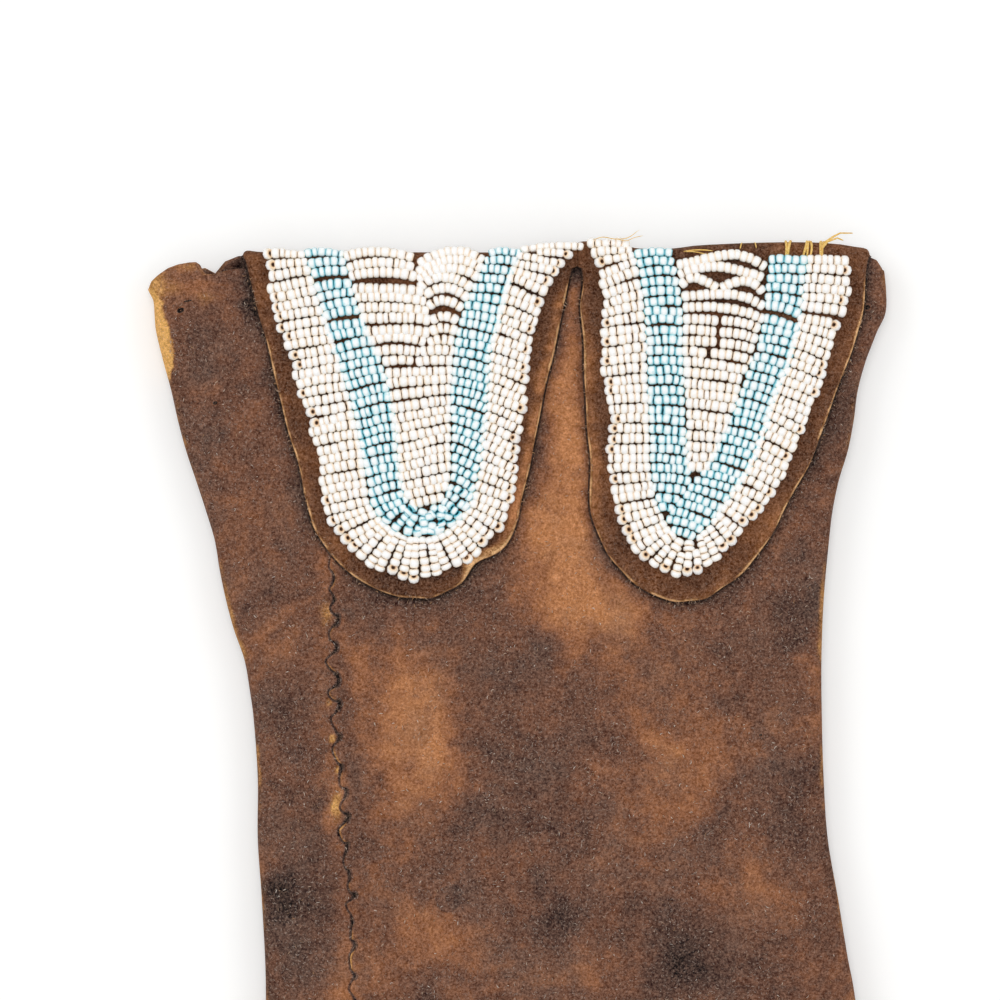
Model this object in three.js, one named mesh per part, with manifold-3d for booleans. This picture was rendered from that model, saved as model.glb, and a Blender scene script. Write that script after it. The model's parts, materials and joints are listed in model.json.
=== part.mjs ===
// Beaded pipe bag, lying on its back with its mouth towards +Y.
// One smoked hide is wrapped into a flat tube and sewn down its front. A cuff of thinner hide is folded
// over the front of the mouth and hangs down in two round-toed flaps, each covered with lanes of beads.
// x runs across the bag, y up towards its mouth and z up from the table. The mouth line is at y = 0
// until the whole bag is moved to the middle of its footprint at the end.

import * as THREE from "three";
import Module from "manifold-3d";

const wasm = await Module();
wasm.setup();

// Driving dimensions, in millimetres.
const CLEARANCE = 0.3; // gap between two pieces that lie on each other

const HIDE = 1.4; // thickness of the bag's hide
const BAG_LENGTH = 360; // mouth line to bottom seam
const BAG_HEIGHT = 11; // table to the outside of the front wall
const SIDE_FOLD = 8; // squareness of the side folds, 2 is an ellipse
const PRESSED_FLAT = 0.05; // depth by which the back wall is flattened on the table
const FRONT_DROP = 2.5; // front wall's cut edge below the mouth line
const CORNER_DROP = 6; // left corner of the mouth below the mouth line
const CORNER_REACH = 0.16; // share of the half-width over which that corner falls
const BOTTOM_TAPER = 34; // length over which the bag thins towards its bottom seam
const BOTTOM_HEIGHT = 5.6; // height of the bag at its bottom seam
const BOTTOM_WALL = 5; // hide turned in at the bottom seam

const CUFF = 1.3; // thickness of the cuff's hide
const HEM_GAP = 0.6; // front wall to the cuff's hem inside the mouth
const HEM_LENGTH = 10; // depth of the hem inside the mouth
const HEM_SIDE = 8.4; // right edge of the mouth to the end of the fold and hem
const CUFF_START = 21.5; // left edge of the mouth to the left end of the cuff
const CUFF_CORNER = 1.5; // cut-off corner at the cuff's right end
const NOTCH_TOP = 4.6; // top of the fold to the top of the notch between the flaps
const NOTCH_WIDTH = 0.4; // gap between the flaps' sides where they would meet the fold

const BEAD = 2.3; // outside diameter of a bead, which is also the pitch of the rows
const BEAD_GROOVE = 1; // depth of the groove between two rows of beads
const ROW_SHOULDER = 1.2; // length over which a row curves down at each end
const BEAD_MARGIN = 4.3; // edge of a flap to the border lane
const BORDER_ROW = 9.1; // length of a row in the white border lane
const BLUE_ROW = 8; // length of a row in the blue lane
const LANE_TOP = 2.6; // top of the fold to the first row of beads
const LEVEL_ROWS = 20; // distance over which the rows turn from level at the fold to square on the edge
const ROW_NARROW = 0.2; // share by which the rows shorten from the fold to the toe
const LEAST_TOE = 4; // depth of the round toe of the innermost lane
const CENTRE_TOE = 1.4; // centre lanes stop this far short of the blue lane's toe

const SINEW = 0.5; // diameter of the sewing sinew
const SEAM_SLACK = 0.4; // seam thread to each side of its channel
const SEAM_SINK = 0.15; // seam thread below the face of the hide
const SEAM_WAVE = 1.1; // sideways swing of the front seam
const SEAM_PITCH = 6.4; // length of one wave of the front seam
const SEAM_START = 6; // mouth line to the top of the front seam
const SEAM_LEAN = 0.049; // drift of the front seam to the right per millimetre down
const SEAM_X = -46.2; // front seam at the mouth line
const STITCH_REACH = 2.6; // length of a whip stitch on the hem inside
const STITCH_SLANT = 0.6; // sideways slant of a whip stitch inside
const STITCH_PLACES = [18, 13.8, 10.6]; // whip stitches from the right end of the cuff
const STITCH_TAIL = [2.6, 1.4, 4.4]; // loose end of the last stitch: right, up the bag, length

// A flap hangs from the fold: half its width there, the taper of its sides, the length of its straight
// sides, the depth of its round toe, and how far its middle drifts sideways on the way down.
const LEFT_FLAP = { halfWidth: 37.1, taper: 0.234, leg: 60, toe: 18, lean: 1.3 };
const RIGHT_FLAP = { halfWidth: 32.4, taper: 0.184, leg: 55.5, toe: 23.3, lean: -9.5 };

// Side edges of the bag lying flat: distance below the mouth line, and place across the bag.
const LEFT_EDGE = [
  [0, -84],
  [22, -80.3],
  [56, -70.7],
  [90, -62.2],
  [113, -59.3],
  [163, -57.3],
  [BAG_LENGTH, -60],
];
const RIGHT_EDGE = [
  [0, 80],
  [8, 80.4],
  [29, 74],
  [63, 67.6],
  [100, 66],
  [136, 68.4],
  [163, 73],
  [210, 79.5],
  [BAG_LENGTH, 83],
];

// Places that follow from the sizes above.
const MOUTH_LEFT = LEFT_EDGE[0][1];
const MOUTH_RIGHT = RIGHT_EDGE[0][1];
const BOTTOM_LEFT = LEFT_EDGE[LEFT_EDGE.length - 1][1];
const BOTTOM_RIGHT = RIGHT_EDGE[RIGHT_EDGE.length - 1][1];
const CUFF_LEFT = MOUTH_LEFT + CUFF_START;
LEFT_FLAP.centre = CUFF_LEFT + LEFT_FLAP.halfWidth;
RIGHT_FLAP.centre = LEFT_FLAP.centre + LEFT_FLAP.halfWidth + NOTCH_WIDTH + RIGHT_FLAP.halfWidth;
const CUFF_RIGHT = RIGHT_FLAP.centre + RIGHT_FLAP.halfWidth;
const HEM_RIGHT = Math.min(MOUTH_RIGHT - HEM_SIDE, CUFF_RIGHT - 2 * CUFF_CORNER);
const SEAM_GAP = SINEW + 2 * SEAM_SLACK; // width of the channels in which the seam threads lie
const SEAM_DEPTH = CLEARANCE + SINEW + SEAM_SINK; // depth of those channels
const FLAP_Z = BAG_HEIGHT + CLEARANCE; // underside of the flaps
const BEAD_Z = FLAP_Z + CUFF + CLEARANCE; // underside of the beads
const HEM_Z = BAG_HEIGHT - HIDE - HEM_GAP - CUFF; // underside of the hem
const FOLD_RADIUS = (FLAP_Z + CUFF - HEM_Z) / 2; // outside of the cuff's fold
const FOLD_Z = HEM_Z + FOLD_RADIUS; // middle of the cuff's fold
const BLUE_INSET = BEAD_MARGIN + BORDER_ROW + CLEARANCE;
const CENTRE_INSET = BLUE_INSET + BLUE_ROW + CLEARANCE;

const LEG_STEP = 14; // spacing of corners along the straight sides of a flap
const TOE_STEP = 5; // spacing of corners round its toe
const OVERCUT = 1; // length by which a cutting shape stands out of the hide

const HIDE_LOOK = { color: 0x6e5238, roughness: 0.95, metalness: 0 };
const CUFF_LOOK = { color: 0x7a5c3c, roughness: 0.92, metalness: 0 };
const WHITE_LOOK = { color: 0xf3ece0, roughness: 0.3, metalness: 0 };
const BLUE_LOOK = { color: 0x9fc9e6, roughness: 0.28, metalness: 0 };
const SINEW_LOOK = { color: 0xd9b44a, roughness: 0.6, metalness: 0 };

// Closed skin over a row of rings with equal counts of points, with a fan over each end.
function loft(rings) {
  const count = rings[0].length;
  const positions = rings.flat(2);
  const index = [];
  for (let i = 0; i + 1 < rings.length; i += 1) {
    for (let j = 0; j < count; j += 1) {
      const a = i * count + j;
      const b = i * count + ((j + 1) % count);
      index.push(a, b + count, b, a, a + count, b + count);
    }
  }
  const last = (rings.length - 1) * count;
  for (let j = 1; j + 1 < count; j += 1) {
    index.push(0, j, j + 1, last, last + j + 1, last + j);
  }
  const geometry = new THREE.BufferGeometry();
  geometry.setAttribute("position", new THREE.Float32BufferAttribute(positions, 3));
  geometry.setIndex(index);
  return geometry;
}

// Solid for joining and cutting. Corners that three.js keeps once per face become one corner.
function toSolid(geometry) {
  const position = geometry.getAttribute("position");
  const order = geometry.index ? Array.from(geometry.index.array) : [...Array(position.count).keys()];
  const seen = new Map();
  const points = [];
  const corner = (i) => {
    const p = [position.getX(i), position.getY(i), position.getZ(i)];
    const key = p.map((v) => Math.round(v * 1e4)).join(",");
    if (!seen.has(key)) {
      seen.set(key, points.length / 3);
      points.push(...p);
    }
    return seen.get(key);
  };
  const triVerts = Uint32Array.from(order.map(corner));
  const vertProperties = Float32Array.from(points);
  return new wasm.Manifold(new wasm.Mesh({ numProp: 3, vertProperties, triVerts }));
}

function toGeometry(solid) {
  const { vertProperties, triVerts } = solid.getMesh();
  const geometry = new THREE.BufferGeometry();
  geometry.setAttribute("position", new THREE.Float32BufferAttribute(vertProperties, 3));
  geometry.setIndex(Array.from(triVerts));
  return geometry;
}

function piece(name, geometry, look) {
  geometry.computeVertexNormals();
  const mesh = new THREE.Mesh(geometry, new THREE.MeshStandardMaterial(look));
  mesh.name = name;
  return mesh;
}

// Smooth curve through hand-set points, read as across = f(down).
function across(edge, down) {
  const last = edge.length - 1;
  let i = 0;
  while (i < last - 1 && down > edge[i + 1][0]) {
    i += 1;
  }
  const slope = (k) => {
    const a = edge[Math.max(k - 1, 0)];
    const b = edge[Math.min(k + 1, last)];
    return (b[1] - a[1]) / (b[0] - a[0]);
  };
  const [d0, x0] = edge[i];
  const [d1, x1] = edge[i + 1];
  const step = d1 - d0;
  const u = (down - d0) / step;
  const v = 1 - u;
  const bend = step * u * v * (slope(i) * v - slope(i + 1) * u);
  return x0 * v * v * (1 + 2 * u) + x1 * u * u * (3 - 2 * u) + bend;
}

// Height of the bag, which thins along a quarter wave towards its bottom seam.
function heightAt(down) {
  const u = Math.max(0, (down - BAG_LENGTH + BOTTOM_TAPER) / BOTTOM_TAPER);
  return BOTTOM_HEIGHT + (BAG_HEIGHT - BOTTOM_HEIGHT) * Math.cos((Math.min(u, 1) * Math.PI) / 2);
}

const foldShare = (t) => Math.pow(Math.max(0, 1 - Math.pow(Math.abs(t), SIDE_FOLD)), 1 / SIDE_FOLD);

// Point of the tube: t from -1 to 1 across it, on the front or the back wall, inset from the outside.
function tubePoint(t, front, down, inset) {
  const left = across(LEFT_EDGE, down) + inset;
  const right = across(RIGHT_EDGE, down) - inset;
  const height = heightAt(down) - 2 * inset;
  const share = foldShare(t);
  const rise = front ? (height * (1 + share)) / 2 : Math.max(0, (height * (1 - share)) / 2 - PRESSED_FLAT);
  return [(left + right) / 2 + (t * (right - left)) / 2, -down, inset + rise];
}

// Edge of the mouth: the front wall is cut lower than the back, and the left corner droops.
function mouthAt(t, front) {
  const corner = Math.max(0, 1 - (1 + t) / CORNER_REACH);
  const drop = front ? FRONT_DROP * (1 - t * t) ** 0.5 : 0;
  return Math.max(drop, CORNER_DROP * corner * corner);
}

// One hide in a tube: outside from the bottom seam to the mouth, over the cut edge, and down the inside.
function buildBag() {
  const columns = [];
  const frontCount = 24;
  const backCount = 16;
  for (let k = 0; k < backCount; k += 1) {
    columns.push({ t: -Math.cos((Math.PI * k) / backCount), front: false });
  }
  for (let k = 0; k < frontCount; k += 1) {
    columns.push({ t: Math.cos((Math.PI * k) / frontCount), front: true });
  }
  const ring = (share, inset) => {
    const end = BAG_LENGTH - (inset > 0 ? BOTTOM_WALL : 0);
    return columns.map(({ t, front }) => {
      const down = end + (mouthAt(t, front) - end) * share;
      return tubePoint(t, front, down, inset);
    });
  };
  const outside = [0, 0.02, 0.045, 0.07, 0.1, 0.16, 0.24, 0.32, 0.4, 0.48, 0.55, 0.61, 0.66, 0.71, 0.76];
  outside.push(0.81, 0.85, 0.89, 0.92, 0.95, 0.975, 1);
  const inside = [1, 0.96, 0.9, 0.84, 0.76, 0.68, 0.6, 0.5, 0.38, 0.24, 0.1, 0.05, 0];
  const rings = [...outside.map((share) => ring(share, 0)), ...inside.map((share) => ring(share, HIDE))];
  return toSolid(loft(rings));
}

// Front seam, a wave that swings left and right on its way down the front wall.
function seamPath() {
  const path = [];
  const steps = Math.floor((BAG_LENGTH - SEAM_START) / (SEAM_PITCH / 2));
  for (let i = 0; i <= steps; i += 1) {
    const down = SEAM_START + ((BAG_LENGTH - SEAM_START) * i) / steps;
    const side = i % 2 === 0 ? 1 : -1;
    const x = SEAM_X + SEAM_LEAN * down + side * SEAM_WAVE * 0.5;
    path.push([x, -down, heightAt(down)]);
  }
  return path;
}

// Square-cut channel along the front seam, open upwards and at the bottom end.
function seamChannel(path) {
  const half = SEAM_GAP / 2;
  const [x, y, z] = path[path.length - 1];
  const rings = [...path, [x, y - OVERCUT, z]].map(([px, py, pz]) => [
    [px - half, py, pz - SEAM_DEPTH],
    [px - half, py, pz + OVERCUT],
    [px + half, py, pz + OVERCUT],
    [px + half, py, pz - SEAM_DEPTH],
  ]);
  return toSolid(loft(rings));
}

// The same channel along the bottom end, open downwards and at both sides.
function bottomChannel() {
  const half = SEAM_GAP / 2;
  const middle = BOTTOM_HEIGHT / 2;
  const deep = -BAG_LENGTH + SEAM_DEPTH;
  const open = -BAG_LENGTH - OVERCUT;
  const rings = [BOTTOM_LEFT - OVERCUT, BOTTOM_RIGHT + OVERCUT].map((x) => [
    [x, open, middle - half],
    [x, open, middle + half],
    [x, deep, middle + half],
    [x, deep, middle - half],
  ]);
  return toSolid(loft(rings));
}

// Round cord carried along a path that runs mostly down the bag or mostly across it.
function cordAlong(path, diameter, acrossBag) {
  const sides = 6;
  const rings = path.map(([x, y, z]) => {
    const points = [];
    for (let k = 0; k < sides; k += 1) {
      const a = (2 * Math.PI * k) / sides;
      const u = (diameter / 2) * Math.cos(a);
      const v = (diameter / 2) * Math.sin(a);
      points.push(acrossBag ? [x, y + u, z - v] : [x + u, y, z - v]);
    }
    return points;
  });
  return loft(rings);
}

// Point on a flap: a leg for sin = 0, the round toe for sin above 0, at an inset from the flap's edge.
// A deep inset has a shorter leg, so that the rows of beads fan out evenly round the toe.
function flapPoint(flap, inset, cos, sin, down) {
  const along = Math.max(0, down - LANE_TOP) / (flap.leg - LANE_TOP);
  const toe = Math.max(flap.toe - inset, LEAST_TOE);
  const deep = down - (toe - flap.toe + inset) * along ** 3 + toe * sin;
  const rows = Math.max(0, inset - BEAD_MARGIN);
  const squeezed = inset - rows * ROW_NARROW * Math.min(1, deep / flap.leg);
  const half = flap.halfWidth - squeezed * Math.hypot(1, flap.taper) - flap.taper * deep;
  const share = Math.min(1, deep / (flap.leg + flap.toe));
  const middle = flap.centre + (flap.lean * (1 - Math.cos(Math.PI * share))) / 2;
  const turn = Math.min(1, Math.max(0, down - LANE_TOP) / LEVEL_ROWS);
  const lift = inset * flap.taper * turn * (1 - along ** 3);
  return [middle + half * cos, FOLD_RADIUS - deep + lift];
}

// Stops along a flap's edge: down its left leg, round its toe and up its right leg.
function flapStops(flap, inset, top, legPitch, toePitch) {
  const legCount = Math.max(1, Math.round((flap.leg - top) / legPitch));
  const stops = [];
  for (let i = 0; i < legCount; i += 1) {
    stops.push({ cos: -1, sin: 0, down: top + ((flap.leg - top) * i) / legCount });
  }
  const half = flap.halfWidth - inset - flap.taper * flap.leg;
  const arc = Math.PI * Math.sqrt((half * half + (flap.toe - inset) ** 2) / 2);
  const toeCount = 2 * Math.max(2, Math.round(arc / toePitch / 2));
  for (let i = 0; i <= toeCount; i += 1) {
    const a = Math.PI * (1 - i / toeCount);
    stops.push({ cos: Math.cos(a), sin: Math.sin(a), down: flap.leg });
  }
  for (let i = legCount - 1; i >= 0; i -= 1) {
    stops.push({ cos: 1, sin: 0, down: top + ((flap.leg - top) * i) / legCount });
  }
  return stops;
}

// Cuff: a flat front with two flaps, joined to a fold over the mouth and a hem inside it.
function buildCuff() {
  const edge = (flap) =>
    flapStops(flap, 0, NOTCH_TOP, LEG_STEP, TOE_STEP).map(({ cos, sin, down }) =>
      flapPoint(flap, 0, cos, sin, down),
    );
  const outline = [[CUFF_LEFT, 0], ...edge(LEFT_FLAP), ...edge(RIGHT_FLAP), [CUFF_RIGHT, 0]];
  outline.push([CUFF_RIGHT - CUFF_CORNER, CUFF_CORNER], [HEM_RIGHT, CUFF_CORNER], [HEM_RIGHT, 0]);
  const shape = new THREE.Shape(outline.map(([x, y]) => new THREE.Vector2(x, y)));
  const front = new THREE.ExtrudeGeometry(shape, { depth: CUFF, bevelEnabled: false, curveSegments: 1 });
  front.translate(0, 0, FLAP_Z);

  // The fold and hem in section: along the bag to the right, up from the table.
  const section = new THREE.Shape();
  section.moveTo(-CUFF, FLAP_Z);
  section.lineTo(0, FLAP_Z);
  section.absarc(0, FOLD_Z, FOLD_RADIUS - CUFF, Math.PI / 2, -Math.PI / 2, true);
  section.lineTo(-HEM_LENGTH, HEM_Z + CUFF);
  section.lineTo(-HEM_LENGTH, HEM_Z);
  section.lineTo(0, HEM_Z);
  section.absarc(0, FOLD_Z, FOLD_RADIUS, -Math.PI / 2, Math.PI / 2, false);
  section.lineTo(-CUFF, FLAP_Z + CUFF);
  const depth = HEM_RIGHT - CUFF_LEFT;
  const fold = new THREE.ExtrudeGeometry(section, { depth, bevelEnabled: false, curveSegments: 10 });
  fold.rotateX(Math.PI / 2);
  fold.rotateZ(Math.PI / 2);
  fold.translate(CUFF_LEFT, 0, 0);
  return toGeometry(toSolid(front).add(toSolid(fold)));
}

// One row of beads in section, from its outer end to its inner end, arched over the stitch.
function rowSection(a, b, top) {
  const [ax, ay] = a;
  const [bx, by] = b;
  const length = Math.hypot(bx - ax, by - ay);
  const s = Math.min(ROW_SHOULDER / length, 0.4);
  const at = (u, z) => [ax + (bx - ax) * u, ay + (by - ay) * u, z];
  return [at(0, BEAD_Z), at(s, top), at(1 - s, top), at(1, BEAD_Z)];
}

// Crest of each row and groove between rows, taken in turn along a lane.
const crestAt = (i) => BEAD_Z + BEAD - (i % 2 === 0 ? BEAD_GROOVE : 0);

// Lane of bead rows between two insets from a flap's edge, all the way round the flap.
function laneAlong(flap, inset, row) {
  const stops = flapStops(flap, inset, LANE_TOP, BEAD / 2, BEAD / 2);
  const rings = stops.map(({ cos, sin, down }, i) =>
    rowSection(
      flapPoint(flap, inset, cos, sin, down),
      flapPoint(flap, inset + row, cos, sin, down),
      crestAt(i),
    ),
  );
  return loft(rings);
}

// Centre of a flap: rows that run across it in two arched columns, down into the toe of the blue lane.
function centreLanes(flap) {
  const ends = ({ sin, down }) => {
    const cos = Math.sqrt(1 - sin * sin);
    return [-cos, cos].map((side) => flapPoint(flap, CENTRE_INSET, side, sin, down));
  };
  const height = (stop) => ends(stop)[0][1];
  const toe = { sin: 1 - CENTRE_TOE / LEAST_TOE, down: flap.leg };
  const legReach = height({ sin: 0, down: LANE_TOP }) - height({ sin: 0, down: flap.leg });
  const legCount = 2 * Math.round(legReach / BEAD);
  const toeCount = 2 * Math.round((LEAST_TOE - CENTRE_TOE) / BEAD);
  const stops = [];
  for (let i = 0; i < legCount; i += 1) {
    stops.push({ sin: 0, down: LANE_TOP + ((flap.leg - LANE_TOP) * i) / legCount });
  }
  for (let i = 0; i <= toeCount; i += 1) {
    stops.push({ sin: (toe.sin * i) / toeCount, down: flap.leg });
  }
  const rings = stops.map((stop, i) => {
    const [a, b] = ends(stop);
    const middle = [(a[0] + b[0]) / 2, (a[1] + b[1]) / 2];
    const left = rowSection(a, middle, crestAt(i)).slice(0, 3);
    const right = rowSection(middle, b, crestAt(i)).slice(1);
    return [...left, [...middle, crestAt(i) - BEAD_GROOVE], ...right];
  });
  return loft(rings);
}

// Whip stitch over the fold of the cuff: from the hem inside, round the fold, to just above the beads.
function stitchOver(x, tail) {
  const radius = FOLD_RADIUS + CLEARANCE + SINEW / 2;
  const stop = FOLD_RADIUS - LANE_TOP + CLEARANCE + SINEW;
  const sweep = Math.acos(stop / radius) + Math.PI / 2;
  const points = [[x + STITCH_SLANT, -STITCH_REACH, FOLD_Z - radius]];
  for (let i = 0; i <= 6; i += 1) {
    const a = -Math.PI / 2 + (sweep * i) / 6;
    points.push([x, radius * Math.cos(a), FOLD_Z + radius * Math.sin(a)]);
  }
  if (tail) {
    const [right, up, long] = tail;
    points.shift();
    points.unshift([x + right, radius + up / 2, FOLD_Z - radius / 2]);
    points.unshift([x + right + long, radius + up, FOLD_Z]);
  }
  const path = new THREE.CatmullRomCurve3(points.map((p) => new THREE.Vector3(...p)), false, "centripetal");
  const outline = new THREE.Shape().absarc(0, 0, SINEW / 2, 0, 2 * Math.PI, false);
  return new THREE.ExtrudeGeometry(outline, { steps: 18, curveSegments: 3, extrudePath: path });
}

const bag = new THREE.Group();

// Bag hide with its two seam channels, and the threads that lie in them.
const frontSeam = seamPath();
const hide = buildBag().subtract(seamChannel(frontSeam)).subtract(bottomChannel());
bag.add(piece("bag_hide", toGeometry(hide), HIDE_LOOK));
const threadSink = SEAM_SINK + SINEW / 2;
const frontThread = frontSeam.slice(1, -2).map(([x, y, z]) => [x, y, z - threadSink]);
bag.add(piece("seam_sinew", cordAlong(frontThread, SINEW, false), SINEW_LOOK));
const threadEnds = [BOTTOM_LEFT + HIDE, BOTTOM_RIGHT - HIDE];
const bottomThread = threadEnds.map((x) => [x, -BAG_LENGTH + threadSink, BOTTOM_HEIGHT / 2]);
bag.add(piece("bottom_sinew", cordAlong(bottomThread, SINEW, true), SINEW_LOOK));

bag.add(piece("cuff_hide", buildCuff(), CUFF_LOOK));
for (const [side, flap] of [["left", LEFT_FLAP], ["right", RIGHT_FLAP]]) {
  bag.add(piece(`${side}_border_beads`, laneAlong(flap, BEAD_MARGIN, BORDER_ROW), WHITE_LOOK));
  bag.add(piece(`${side}_blue_beads`, laneAlong(flap, BLUE_INSET, BLUE_ROW), BLUE_LOOK));
  bag.add(piece(`${side}_centre_beads`, centreLanes(flap), WHITE_LOOK));
}
STITCH_PLACES.forEach((place, i) => {
  const tail = i === STITCH_PLACES.length - 1 ? STITCH_TAIL : null;
  bag.add(piece(`cuff_stitch_${i + 1}`, stitchOver(CUFF_RIGHT - place, tail), SINEW_LOOK));
});

// The origin is under the middle of the bag's footprint, on the table.
const box = new THREE.Box3().setFromObject(bag);
bag.position.set(-(box.min.x + box.max.x) / 2, -(box.min.y + box.max.y) / 2, -box.min.z);

const object = new THREE.Group();
object.add(bag);
export default object;
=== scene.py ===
"""Beaded hide pipe bag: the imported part, dressed for a studio picture.

Lengths are in millimetres from the middle of the bag's mouth line (x across, y towards the mouth, z up from
the table) until a mesh is made. "Down" is the distance from the mouth line towards the bottom, and on the
cuff "along" is the distance down the hide from the place where the fold over the mouth ends.
"""
import json
import logging
from dataclasses import dataclass
from enum import Enum

import bmesh
import bpy
import numpy as np
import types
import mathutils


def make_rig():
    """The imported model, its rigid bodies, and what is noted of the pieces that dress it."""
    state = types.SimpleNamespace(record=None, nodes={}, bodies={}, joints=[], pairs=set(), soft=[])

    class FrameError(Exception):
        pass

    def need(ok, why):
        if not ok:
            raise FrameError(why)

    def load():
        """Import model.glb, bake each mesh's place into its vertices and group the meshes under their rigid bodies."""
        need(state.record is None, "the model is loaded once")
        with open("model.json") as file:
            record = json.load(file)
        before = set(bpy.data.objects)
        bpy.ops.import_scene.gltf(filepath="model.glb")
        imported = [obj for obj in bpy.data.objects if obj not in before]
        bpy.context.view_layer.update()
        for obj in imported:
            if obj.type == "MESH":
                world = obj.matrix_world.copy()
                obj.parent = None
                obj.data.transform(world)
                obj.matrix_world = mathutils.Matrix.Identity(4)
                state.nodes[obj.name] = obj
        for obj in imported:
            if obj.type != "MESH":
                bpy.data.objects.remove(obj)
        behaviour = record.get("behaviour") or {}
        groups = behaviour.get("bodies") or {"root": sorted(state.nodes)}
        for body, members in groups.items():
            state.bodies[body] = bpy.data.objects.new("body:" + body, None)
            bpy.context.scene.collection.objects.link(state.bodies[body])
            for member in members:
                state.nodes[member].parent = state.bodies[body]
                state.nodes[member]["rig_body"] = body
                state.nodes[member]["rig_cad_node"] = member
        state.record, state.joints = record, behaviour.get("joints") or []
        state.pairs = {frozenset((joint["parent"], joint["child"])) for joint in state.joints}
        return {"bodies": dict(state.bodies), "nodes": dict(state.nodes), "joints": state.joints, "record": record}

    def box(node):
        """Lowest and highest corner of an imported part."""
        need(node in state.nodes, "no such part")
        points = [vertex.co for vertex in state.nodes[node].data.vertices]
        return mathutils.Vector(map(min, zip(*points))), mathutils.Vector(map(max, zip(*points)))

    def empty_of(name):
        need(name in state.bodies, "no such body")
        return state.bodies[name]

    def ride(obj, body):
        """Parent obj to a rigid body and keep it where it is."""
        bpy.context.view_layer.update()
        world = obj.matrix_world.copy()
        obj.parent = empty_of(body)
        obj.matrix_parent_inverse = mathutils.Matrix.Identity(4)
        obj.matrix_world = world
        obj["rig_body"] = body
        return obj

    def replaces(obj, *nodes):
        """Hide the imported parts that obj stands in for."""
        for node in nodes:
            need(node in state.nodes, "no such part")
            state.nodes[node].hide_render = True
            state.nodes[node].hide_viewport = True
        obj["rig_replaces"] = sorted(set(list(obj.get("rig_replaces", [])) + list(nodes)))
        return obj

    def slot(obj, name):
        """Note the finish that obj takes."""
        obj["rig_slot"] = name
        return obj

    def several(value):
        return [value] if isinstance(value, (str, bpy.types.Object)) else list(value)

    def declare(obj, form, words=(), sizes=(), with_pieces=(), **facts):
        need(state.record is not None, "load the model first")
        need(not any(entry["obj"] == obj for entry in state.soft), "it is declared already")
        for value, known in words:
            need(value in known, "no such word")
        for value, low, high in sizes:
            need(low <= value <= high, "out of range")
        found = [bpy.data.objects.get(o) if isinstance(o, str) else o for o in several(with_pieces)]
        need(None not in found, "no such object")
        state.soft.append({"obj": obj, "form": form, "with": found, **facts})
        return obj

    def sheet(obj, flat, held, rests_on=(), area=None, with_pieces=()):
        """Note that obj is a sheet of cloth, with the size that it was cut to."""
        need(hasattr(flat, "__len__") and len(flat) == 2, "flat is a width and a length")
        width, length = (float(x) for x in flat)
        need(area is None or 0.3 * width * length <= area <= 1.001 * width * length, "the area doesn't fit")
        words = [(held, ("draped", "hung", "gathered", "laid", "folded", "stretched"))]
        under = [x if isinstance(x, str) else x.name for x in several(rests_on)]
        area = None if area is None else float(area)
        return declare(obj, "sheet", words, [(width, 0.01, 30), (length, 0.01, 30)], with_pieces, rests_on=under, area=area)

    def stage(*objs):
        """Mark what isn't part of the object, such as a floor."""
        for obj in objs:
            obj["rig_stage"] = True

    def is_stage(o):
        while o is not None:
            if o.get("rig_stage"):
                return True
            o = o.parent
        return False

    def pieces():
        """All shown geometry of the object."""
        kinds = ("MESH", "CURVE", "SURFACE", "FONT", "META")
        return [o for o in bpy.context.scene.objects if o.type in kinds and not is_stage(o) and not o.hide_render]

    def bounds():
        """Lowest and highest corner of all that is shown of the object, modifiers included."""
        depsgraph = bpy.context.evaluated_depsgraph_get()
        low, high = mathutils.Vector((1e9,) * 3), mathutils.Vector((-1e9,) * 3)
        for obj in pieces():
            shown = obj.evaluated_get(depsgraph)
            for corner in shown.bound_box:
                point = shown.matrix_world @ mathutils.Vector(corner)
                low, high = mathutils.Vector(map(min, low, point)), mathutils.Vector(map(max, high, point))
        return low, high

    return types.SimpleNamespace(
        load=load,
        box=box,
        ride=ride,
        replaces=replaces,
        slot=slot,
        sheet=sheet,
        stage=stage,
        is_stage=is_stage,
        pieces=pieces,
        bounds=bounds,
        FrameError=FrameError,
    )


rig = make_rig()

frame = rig.load()
CAD_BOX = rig.bounds()

Array = np.ndarray
Socket = bpy.types.NodeSocket
Material = bpy.types.Material
Thing = bpy.types.Object
Colour = tuple[float, float, float]
Points = tuple[tuple[float, float], ...]
Table = tuple[tuple[float, ...], ...]

LOG = logging.getLogger("pipe_bag")
BODY = "root"
MM = 0.001
FULL_TURN = 2.0 * np.pi
SIZE_FILE = "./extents.json"


def smooth_step(low: float, high: float, value: Array) -> Array:
    """Share of the way from low to high, eased at both ends: 3s² - 2s³ of the clipped share s."""
    share = np.clip((value - low) / (high - low), 0.0, 1.0)
    return share * share * (3.0 - 2.0 * share)


def bell(*offsets: Array) -> Array:
    """1 where every offset is 0, and less the larger they are: exp(-(a² + b²))."""
    return np.exp(-sum(offset**2 for offset in offsets))


def curve_through(points: Points, at: Array) -> Array:
    """Cubic curve through points whose slope at each one is that of the line between its neighbours.

    Args:
        points: (place, value) pairs in rising order of place.
        at: places to work out.

    Returns:
        The curve's values, shaped as at.
    """
    place, value = np.array(points, dtype=float).T
    index = np.arange(len(place))
    before = np.maximum(index - 1, 0)
    after = np.minimum(index + 1, len(place) - 1)
    slope = (value[after] - value[before]) / (place[after] - place[before])
    i = np.clip(np.searchsorted(place, at) - 1, 0, len(place) - 2)
    step = place[i + 1] - place[i]
    t = np.clip((at - place[i]) / step, 0.0, 1.0)
    start = (2 * t**3 - 3 * t**2 + 1) * value[i] + (t**3 - 2 * t**2 + t) * step * slope[i]
    return start + (3 * t**2 - 2 * t**3) * value[i + 1] + (t**3 - t**2) * step * slope[i + 1]


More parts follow.
